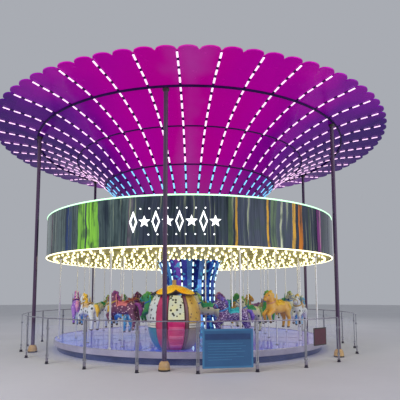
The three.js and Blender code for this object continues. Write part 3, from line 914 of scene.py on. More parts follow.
def thickened(piece):
    """Give a flat figure its depth and round its edges."""
    with editing(piece):
        bpy.ops.mesh.select_all(action="SELECT")
        extrude((0, -FIGURE_DEPTH, 0))
    return rounded(tidy_mesh(piece), 0.004)


def star(radius):
    """A five-pointed star with its own thickness."""
    piece = standing_circle("star", corners=10, radius=radius)
    with editing(piece):
        pick_verts(piece, lambda index, _: index % 2 == 1)
        bpy.ops.transform.resize(value=(STAR_WAIST, 1, STAR_WAIST), center_override=(0, 0, 0))
    return thickened(piece)


def lozenge(half_width, half_height):
    """A standing lozenge frame."""
    piece = standing_circle("lozenge", corners=4, radius=1.0)
    with editing(piece):
        bpy.ops.transform.resize(value=(half_width, 1, half_height), center_override=(0, 0, 0))
        bpy.ops.mesh.inset(thickness=LOZENGE_BORDER)
        bpy.ops.mesh.delete(type="FACE")
    return thickened(piece)


star_shape = star(radius=0.14)
lozenge_shape = lozenge(half_width=0.095, half_height=0.25)
stud_shape = thickened(standing_circle("stud", corners=10, radius=STUD_RADIUS))
print("star faces", len(star_shape.data.polygons))

# %% The row of figures and the studs
FIGURE_FIRST = -16.6
FIGURE_LAST = 7.4
FIGURE_COUNT = 8
FIGURE_HEIGHT = 3.26
FIGURE_RADIUS = DRUM_RADIUS + 0.006
STUD_STEP = 2.7
STUD_ROWS = [(FIGURE_HEIGHT + 0.3, -14.4), (FIGURE_HEIGHT - 0.3, -11.9)]
figures = []
for i in range(FIGURE_COUNT):
    source = star_shape if i % 2 else lozenge_shape
    azimuth = FIGURE_FIRST + (FIGURE_LAST - FIGURE_FIRST) * i / (FIGURE_COUNT - 1)
    figures.append(place(twin(source, f"figure_{i}"), azimuth, FIGURE_RADIUS, FIGURE_HEIGHT))
for height, first in STUD_ROWS:
    for i in range(FIGURE_COUNT):
        figures.append(place(twin(stud_shape, f"stud_{i}"), first + i * STUD_STEP, FIGURE_RADIUS,
                             height))
discard(star_shape, lozenge_shape, stud_shape)
figures = coat(joined("drum_figures", figures), lamp_white)
show(figures, "turntable", "drum_mirror")
print("figures", FIGURE_COUNT, "studs", FIGURE_COUNT * len(STUD_ROWS))

# %% [markdown]
# ## The canopy
#
# The canopy's underside follows one curve from the column's top to the rim. Its points were
# measured from the light rings, and a smooth curve is drawn through them. One panel is spun
# between two light strips, its rim is drawn out into two petals, and it then gets its thickness.
# The underside is mirror sheet and the upper side is dull, so Solidify gives the two sides two
# finishes. Seven panels make a sector, and six sectors make the trumpet.

# %% The curve of the canopy
CANOPY_POINTS = [(1.310, 3.295), (1.678, 3.870), (2.190, 4.540), (2.785, 5.147), (3.695, 5.839),
                 (4.869, 6.272), (5.945, 6.410)]
CURVE_STEPS = 5
SECTOR_COUNT = 6
SECTOR_PANELS = 7
PANEL_COUNT = SECTOR_COUNT * SECTOR_PANELS
PANEL_STEP = 360 / PANEL_COUNT
STRIP_START = -2.44
PETALS = 2
PETAL_STEPS = 10
PETAL_DEPTH = 0.153
SHEET = 0.028


def smooth_curve(points, steps):
    """A curve through all points but the first, each stretch a Bezier with its steps."""
    spots = [Vector((0, -radius, height)) for radius, height in points]
    spots.append(2 * spots[-1] - spots[-2])
    curve = []
    for before, start, end, after in zip(spots, spots[1:], spots[2:], spots[3:]):
        first_handle = start + (end - before) / 6
        last_handle = end - (after - start) / 6
        stretch_points = interpolate_bezier(start, first_handle, last_handle, end, steps + 1)
        curve.extend(stretch_points if not curve else stretch_points[1:])
    return curve


canopy_curve = smooth_curve(CANOPY_POINTS, CURVE_STEPS)
print("canopy curve from", canopy_curve[0][:], "to", canopy_curve[-1][:])

# %% [markdown]
# The sheet is magenta in front and turns violet towards both sides, a painted reflection of the dark
# surroundings, so its colour follows the azimuth through a ramp. Towards the column it turns a muted
# violet. Soft clouds and a small chance for each panel break it up, so that the panels read as
# separate sheets. Both sides glow a little in these colours as painted light. The upper side has
# the same colours with a dull surface.

# %% Canopy finish
def chance_of_part(tree, turn, start, count):
    """A fixed chance for each of the equal parts of a turn, such as panels or facets."""
    part = maths(tree, "MULTIPLY", maths(tree, "SUBTRACT", turn, start / 360), count)
    whole = maths(tree, "FLOOR", part)
    return put(tree, "TexWhiteNoise", {"W": whole}, noise_dimensions="1D").outputs["Value"]


def canopy_finish(name, glow, coat_weight, gloss):
    """Magenta sheet, turned violet towards the sides by painted reflection, with a painted glow."""
    made, tree, shader = new_finish(name, {
        "Metallic": 0.4, "Specular IOR Level": 0.3, "Specular Tint": rgb(0.6, 0.1, 0.6),
        "Coat Weight": coat_weight, "Coat Roughness": 0.08, "Emission Strength": glow})
    turn, spot = azimuth_of(tree)
    chance = chance_of_part(tree, turn, STRIP_START, PANEL_COUNT)
    # Towards both sides the colour darkens to violet: a painted reflection.
    dark_reflection_aside = maths(tree, "ABSOLUTE", maths(tree, "SINE", maths(tree, "MULTIPLY", turn, math.tau)))
    clouds = maths(tree, "MULTIPLY", noise(tree, 0.55, 3.0), 0.5)
    drift = maths(tree, "ADD", maths(tree, "ADD", dark_reflection_aside, clouds),
                  maths(tree, "MULTIPLY", chance, 0.1))
    color = ramp(tree, maths(tree, "MULTIPLY", drift, 0.6), [
        (0.12, rgb(0.5, 0.05, 0.38)), (0.22, rgb(0.54, 0.0, 0.32)), (0.36, rgb(0.5, 0.0, 0.36)),
        (0.5, rgb(0.36, 0.0, 0.34)), (0.62, rgb(0.14, 0.0, 0.26)), (0.74, rgb(0.03, 0.0, 0.13))])
    inner = stretch(tree, spot.outputs["Z"], 5.3, 4.0)
    color = blend(tree, maths(tree, "MULTIPLY", inner, 0.6), color, rgb(0.3, 0.06, 0.28))
    waves = noise(tree, 1.1, 1.0)
    rough = stretch(tree, noise(tree, 6.0), 0.3, 0.7, gloss, gloss + 0.12)
    bump = put(tree, "Bump", {"Strength": 0.35, "Distance": 0.12, "Height": waves})
    tree.links.new(color, shader.inputs["Base Color"])
    tree.links.new(color, shader.inputs["Emission Color"])
    tree.links.new(rough, shader.inputs["Roughness"])
    tree.links.new(bump.outputs["Normal"], shader.inputs["Normal"])
    return made


canopy_sheet = canopy_finish("canopy_sheet", glow=0.46, coat_weight=0.1, gloss=0.16)
canopy_back = canopy_finish("canopy_back", glow=0.2, coat_weight=0.0, gloss=0.6)
print("canopy finish ready")

# %% One panel with its petals
def canopy_panel():
    """One panel of the trumpet: a spun sheet with two petals drawn out at its rim."""
    steps = PETALS * PETAL_STEPS
    outline = [(-point.y, point.z) for point in canopy_curve]
    outline.append((outline[-1][0] + 0.002, outline[-1][1]))
    panel = turned("panel", outline, steps, sweep=PANEL_STEP, angle=60)
    rim = outline[-1][0]
    with editing(panel):
        for i in range(1, steps):
            if i % PETAL_STEPS == 0:
                continue
            across = (i % PETAL_STEPS) / PETAL_STEPS * 2 - 1
            depth = PETAL_DEPTH * math.sqrt(1 - across * across)
            outwards = point_at(PANEL_STEP * i / steps)
            spot = outwards * rim
            pick_verts(panel, lambda _, co, spot=spot: (co.xy - spot.xy).length < 0.001)
            bpy.ops.transform.translate(value=outwards * depth)
    return panel


def faced(piece, lean):
    """Turn an open sheet over if, taken together, its faces lean the wrong way."""
    if sum(lean(face) for face in piece.data.polygons) < 0:
        with editing(piece):
            bpy.ops.mesh.select_all(action="SELECT")
            bpy.ops.mesh.flip_normals()
    return piece


def face_up(piece):
    """Turn an open sheet so that its faces look up."""
    return faced(piece, lambda face: face.normal.z)


def two_faced(piece, front, back, rim, **settings):
    """Thicken a sheet that has one finish on its face and another on its back."""
    coat(piece, front)
    piece.data.materials.append(back)
    return shape_with(piece, "SOLIDIFY", material_offset=1, material_offset_rim=rim, **settings)


panel = two_faced(face_up(canopy_panel()), canopy_back, canopy_sheet, rim=1, thickness=SHEET,
                  offset=1.0, use_even_offset=True)
sector = ring_of(smooth(panel, 50), SECTOR_PANELS, PANEL_STEP)
set_out(sector, "canopy_sheet", SECTOR_COUNT, STRIP_START, 0.0, "root", "canopy_panel",
        "canopy_sector")

# %% [markdown]
# Below each seam between two panels runs a dark channel with a row of short light bars. The
# channel is a ribbon along the curve: a chain of vertices, extruded sideways and thickened. The
# light bars are bevelled boxes set along the curve at an even pitch and turned to its slope.

# %% Tools for ribbons and light bars
def along_curve(curve, pitch, first):
    """Points at an even pitch along a curve, each with its slope about X."""
    spots = []
    due = first
    walked = 0.0
    for start, end in zip(curve, curve[1:]):
        length = (end - start).length
        while due <= walked + length:
            slope = math.atan2(end.z - start.z, start.y - end.y)
            spots.append((start.lerp(end, (due - walked) / length), slope))
            due += pitch
        walked += length
    return spots


def ribbon(name, curve, width, thickness):
    """A flat band that follows a curve in the plane of azimuth 0."""
    piece = chain(name, [point - Vector((width / 2, 0, 0)) for point in curve])
    with editing(piece):
        bpy.ops.mesh.select_all(action="SELECT")
        extrude((width, 0, 0))
    face_up(tidy_mesh(piece))
    return shape_with(piece, "SOLIDIFY", thickness=thickness, offset=0.0)


def light_bars(name, spots, size, sink):
    """Light bars along a ribbon, each turned to the slope and set off its face."""
    bar = block("bar", size, bevel=0.008, segments=1)
    bars = []
    for spot, slope in spots:
        copy = twin(bar, "bar_copy")
        copy.rotation_euler.x = -slope
        normal = Vector((0, math.sin(slope), math.cos(slope)))
        copy.location = spot - normal * sink
        bars.append(settle(copy))
    discard(bar)
    return joined(name, bars)


print("ribbon tools ready")

# %% Channels and light bars of the canopy
BAR_SIZE = (0.045, 0.17, 0.022)
BAR_PITCH = 0.27
BAR_SINK = 0.016
COLOR_CHANGE_RADIUS = 2.78
strip = ribbon("canopy_strips", canopy_curve, width=0.05, thickness=0.014)
show_ring(strip, PANEL_COUNT, STRIP_START, seam_paint, "root", "canopy_panel")

curve_length = sum((end - start).length for start, end in zip(canopy_curve, canopy_curve[1:]))
first_bar = (curve_length - BAR_SIZE[1] / 2 - 0.01) % BAR_PITCH
spots = along_curve(canopy_curve, BAR_PITCH, first_bar)
for name, finish, chosen in (
        ("canopy_bars_cyan", lamp_cyan, [s for s in spots if -s[0].y < COLOR_CHANGE_RADIUS]),
        ("canopy_bars_pink", lamp_pink, [s for s in spots if -s[0].y >= COLOR_CHANGE_RADIUS])):
    row = light_bars(name, chosen, BAR_SIZE, BAR_SINK)
    show_ring(row, PANEL_COUNT, STRIP_START, finish, "root", "canopy_panel")
    print(name, len(chosen) * PANEL_COUNT)

# %% [markdown]
# Three dark rings tie the strips together, and the outer one rests on the posts. On the upper
# side plain ribs stiffen the seams; they stop short of the petals.

# %% Ring beams and upper ribs
RING_SIZES = [(0.011, 0.026), (0.011, 0.026), (0.02, 0.0405)]
rings = []
for (radius, height), (half_width, depth) in zip(CANOPY_POINTS[3:6], RING_SIZES):
    outline = box_outline(radius - half_width, radius + half_width, height - depth,
                          height + 0.012)
    rings.append(turned("ring", outline, ROUND, closed=True))
rings = coat(joined("canopy_rings", rings), seam_paint)
show(rings, "root", "canopy_panel")

RIB_REACH = 5.45
upper_curve = [point + Vector((0, 0, SHEET + 0.012)) for point in canopy_curve
               if -point.y < RIB_REACH]
upper_rib = ribbon("canopy_upper_ribs", upper_curve, width=0.04, thickness=0.035)
show_ring(upper_rib, PANEL_COUNT, STRIP_START, seam_paint, "root", "canopy_panel")
print("rings", len(RING_SIZES), "ribs", PANEL_COUNT)

# %% [markdown]
# ## The posts
#
# Six round posts stand on the ground in bell-shaped feet. The post is turned in one piece at the
# origin and then set out on its circle, and the feet are coloured by height.

# %% Canopy posts
POST_COUNT = 6
POST_CIRCLE = 4.81
POST_START = -6.4
POST_TOP = 6.229
FOOT_RIM = 0.034
FOOT_TOP = 0.205
HEAD_START = 6.15
POST_OUTLINE = [
    (0.0, 0.0), (0.128, 0.0), (0.13, 0.008), (0.13, 0.03), (0.126, 0.036), (0.124, 0.08),
    (0.118, 0.12), (0.107, 0.155), (0.09, 0.183), (0.07, 0.2), (0.062, 0.206), (0.05, 0.21),
    (0.05, 2.2), (0.05, 4.2), (0.05, 6.14), (0.055, 6.155), (0.076, 6.19), (0.08, 6.198),
    (0.08, 6.226), (0.077, POST_TOP), (0.0, POST_TOP)]
post = turned("post", POST_OUTLINE, steps=32)
coat(post, post_paint)
coat(post, foot_gold, lambda spot: FOOT_RIM < spot.z < FOOT_TOP)
coat(post, rim_black, lambda spot: spot.z <= FOOT_RIM or spot.z > HEAD_START)
set_out(post, "post", POST_COUNT, POST_START, POST_CIRCLE, "root", "post_paint", "canopy_post")

# %% [markdown]
# ## The column
#
# The hourglass is clad with narrow facets of dark blue mirror, so it is turned in 32 steps and
# kept flat-sided. Sixteen light channels run up its edges.

# %% Column
COLUMN_POINTS = [(1.09, 0.1503), (1.07, 0.31), (0.93, 0.8), (0.835, 1.25), (0.815, 1.56),
                 (0.845, 2.085), (1.05, 2.73), (1.31, 3.295), (1.678, 3.87)]
COLUMN_START = -16.2
FACET_COUNT = 32


def facet_finish():
    """Dark blue mirror facets, each with its own shade, and a painted glow."""
    made, tree, shader = new_finish("column_mirror", {"Metallic": 0.85})
    turn, _ = azimuth_of(tree)
    color = ramp(tree, chance_of_part(tree, turn, COLUMN_START, FACET_COUNT), [
        (0.0, rgb(0.01, 0.02, 0.16)), (0.3, rgb(0.015, 0.08, 0.42)), (0.55, rgb(0.1, 0.05, 0.38)),
        (0.75, rgb(0.02, 0.3, 0.6)), (1.0, rgb(0.26, 0.05, 0.5))])
    cloud = noise(tree, 7.0)
    color = blend(tree, stretch(tree, cloud, 0.56, 0.64), color, rgb(0.12, 0.5, 0.85))
    wire(tree, shader, color, stretch(tree, cloud, 0.3, 0.7, 0.08, 0.2), cloud, 0.3)
    return with_painted_glow(made, 0.3)


column_foot, column_head = COLUMN_POINTS[0][1], COLUMN_POINTS[-1][1]
column_outline = [(0.0, column_foot)] + COLUMN_POINTS + [(0.0, column_head)]
column = turned("column_mirror", column_outline, FACET_COUNT, start=COLUMN_START, angle=5)
coat(column, facet_finish())
coat(column, roof_grey, lambda spot: spot.z > column_head - 0.001)
show(column, "root", "column_mirror", "centre_column")
print("column faces", len(column.data.polygons))

# %% Light channels of the column
CHANNEL_COUNT = 16
COLUMN_BAR_SIZE = (0.045, 0.13, 0.022)
COLUMN_BAR_PITCH = 0.22
COLUMN_FIRST_BAR = 0.1
column_curve = [point + Vector((0, -0.006, 0)) for point in smooth_curve(COLUMN_POINTS, 4)]
channel = ribbon("column_channels", column_curve, width=0.055, thickness=0.014)
show_ring(channel, CHANNEL_COUNT, COLUMN_START, seam_paint, "root", "column_mirror")

column_spots = along_curve(column_curve, COLUMN_BAR_PITCH, COLUMN_FIRST_BAR)
row = light_bars("column_bars", column_spots, COLUMN_BAR_SIZE, sink=0.014)
show_ring(row, CHANNEL_COUNT, COLUMN_START, lamp_ice, "root", "column_mirror")
print("column bars", len(column_spots) * CHANNEL_COUNT)

# %% [markdown]
# ## Edge poles
#
# Eight polished poles at the edge of the deck carry the ceiling. Each has a flanged collar at both
# ends.

# %% Edge poles
EDGE_POLE_COUNT = 8
EDGE_POLE_CIRCLE = 4.1
EDGE_POLE_START = 17
edge_pole = turned("edge_pole", [
    (0.0, 0.3003), (0.052, 0.3003), (0.055, 0.304), (0.052, 0.312), (0.034, 0.318), (0.03, 0.34),
    (0.025, 0.346), (0.025, 1.5), (0.025, 2.65), (0.03, 2.656), (0.034, 2.676), (0.052, 2.682),
    (0.055, 2.69), (0.052, 2.6997), (0.0, 2.6997)], steps=20)
set_out(coat(edge_pole, bright_steel), "edge_pole_tube", EDGE_POLE_COUNT, EDGE_POLE_START,
        EDGE_POLE_CIRCLE, "turntable", "pole_steel", "edge_pole")

# %% [markdown]
# ## The horses
#
# The horses are plump glass-fibre castings, and all come from one mould. So one horse is modelled
# and copied 27 times, each copy with its own mesh and its own paint. Its mass is blocked out from
# stretched spheres and tapered limbs, fused by a voxel Remesh as a caster would fill and sand a
# joint, smoothed, and thinned to a few thousand faces. It faces -X with its pole at x = 0.

# %% Blocking tools
BLOCK_SIDES = 18
BLOCK_RINGS = 12


def blob(centre, half, lean=0.0):
    """A stretched ball, leaning about Y."""
    bpy.ops.mesh.primitive_uv_sphere_add(segments=BLOCK_SIDES, ring_count=BLOCK_RINGS,
                                         radius=1, location=centre, scale=half,
                                         rotation=(0, lean, 0))
    return settle(bpy.context.object)


def limb(start, end, start_radius, end_radius):
    """A tapered limb with a ball at each end, ready to be fused."""
    start, end = Vector(start), Vector(end)
    along = end - start
    bpy.ops.mesh.primitive_cone_add(vertices=BLOCK_SIDES, radius1=start_radius,
                                    radius2=end_radius, depth=along.length,
                                    location=(start + end) / 2,
                                    rotation=along.to_track_quat("Z", "Y").to_euler())
    cone = settle(bpy.context.object)
    return [cone, blob(start, (start_radius,) * 3), blob(end, (end_radius,) * 3)]


def fused(name, blocks, voxel, ratio):
    """Fuse blocks into one skin, smooth it and thin it."""
    piece = joined(name, blocks)
    shape_with(piece, "REMESH", mode="VOXEL", voxel_size=voxel)
    shape_with(piece, "SMOOTH", factor=0.6, iterations=5)
    shape_with(piece, "DECIMATE", ratio=ratio)
    return smooth(piece, 80)


print("blocking tools ready")

# %% The horse's body
def horse_body():
    """Barrel, neck, head, ears and legs in one skin."""
    deselect()
    blocks = [blob((0.06, 0, 0.54), (0.37, 0.145, 0.155)),
              blob((0.27, 0, 0.57), (0.16, 0.14, 0.15)),
              blob((-0.2, 0, 0.56), (0.15, 0.135, 0.155))]
    blocks += limb((-0.2, 0, 0.63), (-0.265, 0, 0.86), 0.125, 0.078)
    blocks += [blob((-0.345, 0, 0.84), (0.135, 0.08, 0.085), -0.75),
               blob((-0.43, 0, 0.765), (0.075, 0.058, 0.062)),
               blob((-0.375, 0, 0.77), (0.07, 0.06, 0.06))]
    for side in (1, -1):
        blocks += limb((-0.255, side * 0.045, 0.9), (-0.235, side * 0.06, 0.972), 0.032, 0.01)
        blocks += limb((-0.24, side * 0.075, 0.48), (-0.41, side * 0.085, 0.37), 0.078, 0.052)
        blocks += limb((-0.41, side * 0.085, 0.37), (-0.35, side * 0.085, 0.21), 0.05, 0.034)
        blocks += limb((0.3, side * 0.075, 0.5), (0.42, side * 0.085, 0.26), 0.098, 0.05)
        blocks += limb((0.42, side * 0.085, 0.26), (0.385, side * 0.085, 0.06), 0.048, 0.034)
        blocks.append(blob((-0.348, side * 0.085, 0.175), (0.045, 0.04, 0.03), 0.35))
        blocks.append(blob((0.375, side * 0.085, 0.03), (0.05, 0.042, 0.03)))
    return fused("horse_body", blocks, voxel=0.013, ratio=0.42)


HOOF_SPOTS = [Vector((-0.348, side * 0.085, 0.165)) for side in (1, -1)]
REAR_HOOF_TOP = 0.052
HOOF_REACH = 0.052


def on_hoof(spot):
    """True near the tips of the legs."""
    return spot.z < REAR_HOOF_TOP or any((spot - hoof).length < HOOF_REACH for hoof in HOOF_SPOTS)


body = horse_body()
print("horse body faces", len(body.data.polygons))

# %% [markdown]
# Mane and tail are blocked out and fused in the same way. The small balls of the mane sway from
# side to side down the neck, which leaves the furrows between carved locks.

# %% Mane, forelock and tail
def horse_hair():
    """Locks of mane down the neck, a forelock and a full tail."""
    deselect()
    crest = [(-0.25, 0.955), (-0.2, 0.93), (-0.165, 0.875), (-0.135, 0.815), (-0.105, 0.755),
             (-0.07, 0.705)]
    blocks = []
    for i, (x, z) in enumerate(crest):
        sway = 0.022 if i % 2 else -0.022
        blocks.append(blob((x, sway, z), (0.05, 0.04, 0.05), 0.6))
        blocks.append(blob((x - 0.015, sway * 2.2, z - 0.035), (0.035, 0.025, 0.05), 0.3))
    blocks += [blob((-0.3, 0, 0.935), (0.055, 0.035, 0.032), -0.6),
               blob((-0.35, 0.01, 0.905), (0.04, 0.028, 0.024), -0.8)]
    blocks += limb((0.4, 0, 0.66), (0.5, 0, 0.64), 0.04, 0.05)
    blocks += limb((0.5, 0, 0.64), (0.555, 0, 0.52), 0.052, 0.058)
    blocks += limb((0.555, 0, 0.52), (0.54, 0, 0.38), 0.056, 0.024)
    return fused("horse_hair", blocks, voxel=0.012, ratio=0.4)


hair = horse_hair()
print("hair faces", len(hair.data.polygons))

# %% [markdown]
# The tack sits on the skin. The blanket and the seat are flat grids above the back, dropped on it
# by a Shrinkwrap and thickened, and the ends of the seat are lifted into pommel and cantle. The
# collar and the noseband are rings turned from a strap's outline and leaned into place.

# %% Tools for the tack
STRAP_DEPTH = 0.012


def draped(name, size, centre_x, offset, thickness, cuts=14):
    """A grid dropped on the horse's back and thickened."""
    deselect()
    bpy.ops.mesh.primitive_grid_add(x_subdivisions=cuts, y_subdivisions=cuts, size=1,
                                    location=(centre_x, 0, 0.9))
    bpy.context.object.scale = (*size, 1)
    piece = settle(named(bpy.context.object, name))
    shape_with(piece, "SHRINKWRAP", target=body, wrap_method="PROJECT", use_project_z=True,
               use_negative_direction=True, use_positive_direction=False, offset=offset)
    face_up(piece)
    return shape_with(piece, "SOLIDIFY", thickness=thickness, offset=1.0)


def raise_end(piece, test, lift):
    """Lift the vertices of one end of the seat."""
    with editing(piece):
        pick_verts(piece, lambda _, co: test(co))
        bpy.ops.transform.translate(value=(0, 0, lift))


def strap(name, radius, width, centre, lean, squeeze=1.0):
    """A strap round the neck or the nose."""
    outline = box_outline(radius, radius + STRAP_DEPTH, -width / 2, width / 2, chamfer=0.003)
    piece = turned(name, outline, steps=24, closed=True)
    piece.scale = (1.0, squeeze, 1.0)
    piece.rotation_euler.y = lean
    piece.location = centre
    return settle(piece)


print("tack tools ready")

# %% Saddle, straps and eyes
SEAT_CENTRE = 0.02
EYE_X, EYE_Y, EYE_Z = -0.375, 0.066, 0.862
blanket = draped("blanket", (0.34, 0.25), 0.03, offset=0.002, thickness=0.01)
seat = draped("seat", (0.25, 0.17), SEAT_CENTRE, offset=0.011, thickness=0.022)
for reach, lift in ((0.075, 0.012), (0.1, 0.02)):
    raise_end(seat, lambda co, reach=reach: co.x - SEAT_CENTRE > reach, lift)
    raise_end(seat, lambda co, reach=reach: SEAT_CENTRE - co.x > reach, lift)
saddle = joined("saddle", [rounded(blanket, 0.004), rounded(seat, 0.005)])
smooth(saddle, 60)
straps = joined("straps", [
    strap("collar", 0.118, 0.035, (-0.222, 0, 0.7), lean=-0.42, squeeze=0.96),
    strap("noseband", 0.064, 0.018, (-0.425, 0, 0.775), lean=0.95, squeeze=0.92)])
eye = turned("eye", [(0.0, 0.012), (0.008, 0.011), (0.015, 0.006), (0.017, 0.0)], steps=12,
             angle=80)
eyes = []
for side in (1, -1):
    copy = twin(eye, "eye_copy")
    copy.rotation_euler = (-side * math.pi / 2, 0, 0)
    copy.location = (EYE_X, side * EYE_Y, EYE_Z)
    eyes.append(settle(copy))
discard(eye)
eyes = joined("eyes", eyes)
print("tack ready")

# %% [markdown]
# Each coat is a set of four paints, for skin, mane, saddle and straps. Some manes and straps share
# a paint, and so do all hooves and eyes. The dots are painted by the shader, so no two horses carry
# the same.

# %% Coats
hoof_paint = painted("hoof_paint", rgb(0.12, 0.08, 0.06), rgb(0.2, 0.14, 0.1), 20.0, 0.4)
eye_paint = painted("eye_paint", rgb(0.004, 0.004, 0.006), rgb(0.02, 0.014, 0.012), 30.0, 0.1)
yellow_hair = painted("yellow_hair", rgb(0.85, 0.5, 0.04), rgb(0.9, 0.62, 0.12), 14.0, 0.4)
blue_trim = painted("blue_trim", rgb(0.03, 0.2, 0.62), rgb(0.05, 0.32, 0.75), 12.0, 0.35)
gold_trim = skinned("gold_trim", worn_skin,
                    {"Color": rgb(0.75, 0.5, 0.12), "Shade": rgb(0.6, 0.36, 0.07), "Scale": 12.0,
                     "Gloss": 0.3}, {"Metallic": 0.7}, 0.2)
COATS = {
    "white": (dotted("coat_white", rgb(0.82, 0.84, 0.86), rgb(0.66, 0.7, 0.78),
                     rgb(0.02, 0.03, 0.04), 9.0, 0.34), yellow_hair,
              painted("saddle_beige", rgb(0.62, 0.42, 0.22), rgb(0.75, 0.56, 0.34), 10.0),
              gold_trim),
    "maroon": (dotted("coat_maroon", rgb(0.11, 0.025, 0.08), rgb(0.19, 0.05, 0.13),
                      rgb(0.85, 0.55, 0.6), 14.0, 0.28),
               painted("hair_plum", rgb(0.2, 0.03, 0.2), rgb(0.35, 0.08, 0.3), 12.0),
               painted("saddle_rose", rgb(0.7, 0.16, 0.2), rgb(0.8, 0.28, 0.26), 10.0), gold_trim),
    "night": (glittery("coat_night", rgb(0.06, 0.03, 0.18), rgb(0.13, 0.04, 0.21),
                       rgb(0.75, 0.6, 0.95), 70.0, 0.16),
              painted("hair_indigo", rgb(0.1, 0.08, 0.5), rgb(0.3, 0.12, 0.55), 12.0),
              painted("saddle_teal", rgb(0.02, 0.4, 0.5), rgb(0.05, 0.55, 0.62), 10.0), blue_trim),
    "gold": (dotted("coat_gold", rgb(0.78, 0.38, 0.05), rgb(0.84, 0.5, 0.12),
                    rgb(0.28, 0.1, 0.05), 10.0, 0.14), yellow_hair,
             painted("saddle_yellow", rgb(0.95, 0.62, 0.03), rgb(0.9, 0.5, 0.03), 10.0),
             painted("strap_peach", rgb(0.8, 0.42, 0.25), rgb(0.7, 0.3, 0.16), 10.0)),
    "cream": (dotted("coat_cream", rgb(0.82, 0.8, 0.58), rgb(0.7, 0.72, 0.5),
                     rgb(0.02, 0.06, 0.04), 9.0, 0.32),
              painted("hair_leaf", rgb(0.2, 0.5, 0.12), rgb(0.5, 0.6, 0.16), 12.0),
              painted("saddle_green", rgb(0.04, 0.42, 0.2), rgb(0.08, 0.55, 0.26), 10.0),
              blue_trim),
    "green": (dotted("coat_green", rgb(0.09, 0.48, 0.08), rgb(0.04, 0.36, 0.2),
                     rgb(0.01, 0.08, 0.04), 10.0, 0.28),
              painted("hair_lime", rgb(0.25, 0.65, 0.1), rgb(0.12, 0.5, 0.12), 12.0),
              painted("saddle_cyan", rgb(0.04, 0.42, 0.62), rgb(0.05, 0.55, 0.7), 10.0),
              blue_trim),
    "sky": (dotted("coat_sky", rgb(0.14, 0.5, 0.8), rgb(0.08, 0.36, 0.72), rgb(0.9, 0.95, 1.0),
                   11.0, 0.28),
            painted("hair_white", rgb(0.8, 0.84, 0.9), rgb(0.62, 0.72, 0.85), 12.0),
            painted("saddle_navy", rgb(0.03, 0.08, 0.42), rgb(0.06, 0.14, 0.55), 10.0), gold_trim),
    "violet": (dotted("coat_violet", rgb(0.3, 0.1, 0.55), rgb(0.42, 0.2, 0.7),
                      rgb(0.88, 0.8, 0.95), 13.0, 0.22),
               painted("hair_pink", rgb(0.75, 0.25, 0.5), rgb(0.85, 0.4, 0.62), 12.0),
               painted("saddle_purple", rgb(0.2, 0.04, 0.38), rgb(0.3, 0.08, 0.5), 10.0),
               gold_trim),
}
print("coats", list(COATS))

# %% [markdown]
# The parts of the first horse are joined into a mould, and each copy of it gets its own paints in
# the same material slots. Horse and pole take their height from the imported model's own node, so
# each horse stands at its own height.

# %% One horse and one pole, then all of them
skin, mane, tack, trim = COATS["white"]
coat(body, skin)
coat(hair, mane)
coat(saddle, tack)
coat(straps, trim)
coat(body, hoof_paint, on_hoof)
coat(eyes, eye_paint)
mould = joined("horse_mould", [body, hair, saddle, straps, eyes])
SLOT_ORDER = [material.name for material in mould.data.materials]
PAINT_SLOTS = [SLOT_ORDER.index(paint.name) for paint in (skin, mane, tack, trim)]

POLE_LOW = -0.5
POLE_HIGH = 2.5
GRIP_LOW = 0.352
GRIP_HIGH = 0.76
pole_mould = turned("pole_mould", [
    (0.0, POLE_LOW), (0.012, POLE_LOW), (POLE_RADIUS, POLE_LOW + 0.005), (POLE_RADIUS, 0.35),
    (0.026, GRIP_LOW), (0.03, 0.36), (0.03, 0.375), (0.026, 0.383), (0.026, 0.7), (0.03, 0.72),
    (0.034, 0.735), (0.03, 0.75), (0.02, 0.757), (POLE_RADIUS, 0.762), (POLE_RADIUS, 1.6),
    (POLE_RADIUS, POLE_HIGH - 0.005), (0.012, POLE_HIGH), (0.0, POLE_HIGH)], steps=16)
coat(pole_mould, bright_steel)
coat(pole_mould, gold_trim, lambda spot: GRIP_LOW < spot.z < GRIP_HIGH)

for name, azimuth, radius, color in horse_places():
    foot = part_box(name)[0].z - POLE_LOW
    horse = place(twin(mould, f"{name}_figure"), azimuth, radius, foot)
    for slot, paint in zip(PAINT_SLOTS, COATS[color]):
        horse.data.materials[slot] = paint
    show(horse, name, f"horse_{color}", name)
    pole = place(twin(pole_mould, f"{name}_pole"), azimuth, radius, foot)
    show(pole, name, "pole_steel")
discard(mould, pole_mould)
print("horse faces", len(horse.data.polygons))

# %% [markdown]
# ## The pumpkin carriage
#
# The carriage is a pumpkin of painted glass-fibre gores. Each gore is a narrow turned strip of the
# shell with its own thickness, and between gores the darker liner shows as piping. The front has a
# low door with battens and is open above it up to the cap; the other gores are closed. It is
# modelled about the ride's axis with its door at azimuth 0 and then carried to its place.

# %% Shell curve and gores
CARRIAGE_CIRCLE = 3.5
CARRIAGE_AZIMUTH = -6.2
CARRIAGE_TURN = 7.0
CARRIAGE_FLOOR = 0.3003
SHELL_POINTS = [(0.2, -0.1), (0.40, 0.0), (0.545, 0.18), (0.622, 0.42), (0.646, 0.65),
                (0.64, 0.86), (0.592, 1.08), (0.503, 1.25), (0.472, 1.297)]
SHELL_WALL = 0.022
GORE_GAP = 0.7
GORE_STEP = 4
DOOR_WIDTH = 38
shell_curve = smooth_curve(SHELL_POINTS, 5)


def to_carriage(piece):
    """Carry a piece from the axis to the carriage's place."""
    turn_to(piece, CARRIAGE_TURN)
    piece.location = point_at(CARRIAGE_AZIMUTH, CARRIAGE_CIRCLE, CARRIAGE_FLOOR)
    return settle(piece)


def radius_at(height):
    """The shell's radius at a height."""
    for start, end in zip(shell_curve, shell_curve[1:]):
        if start.z <= height <= end.z:
            share = (height - start.z) / (end.z - start.z)
            return -start.lerp(end, share).y
    return -shell_curve[-1].y


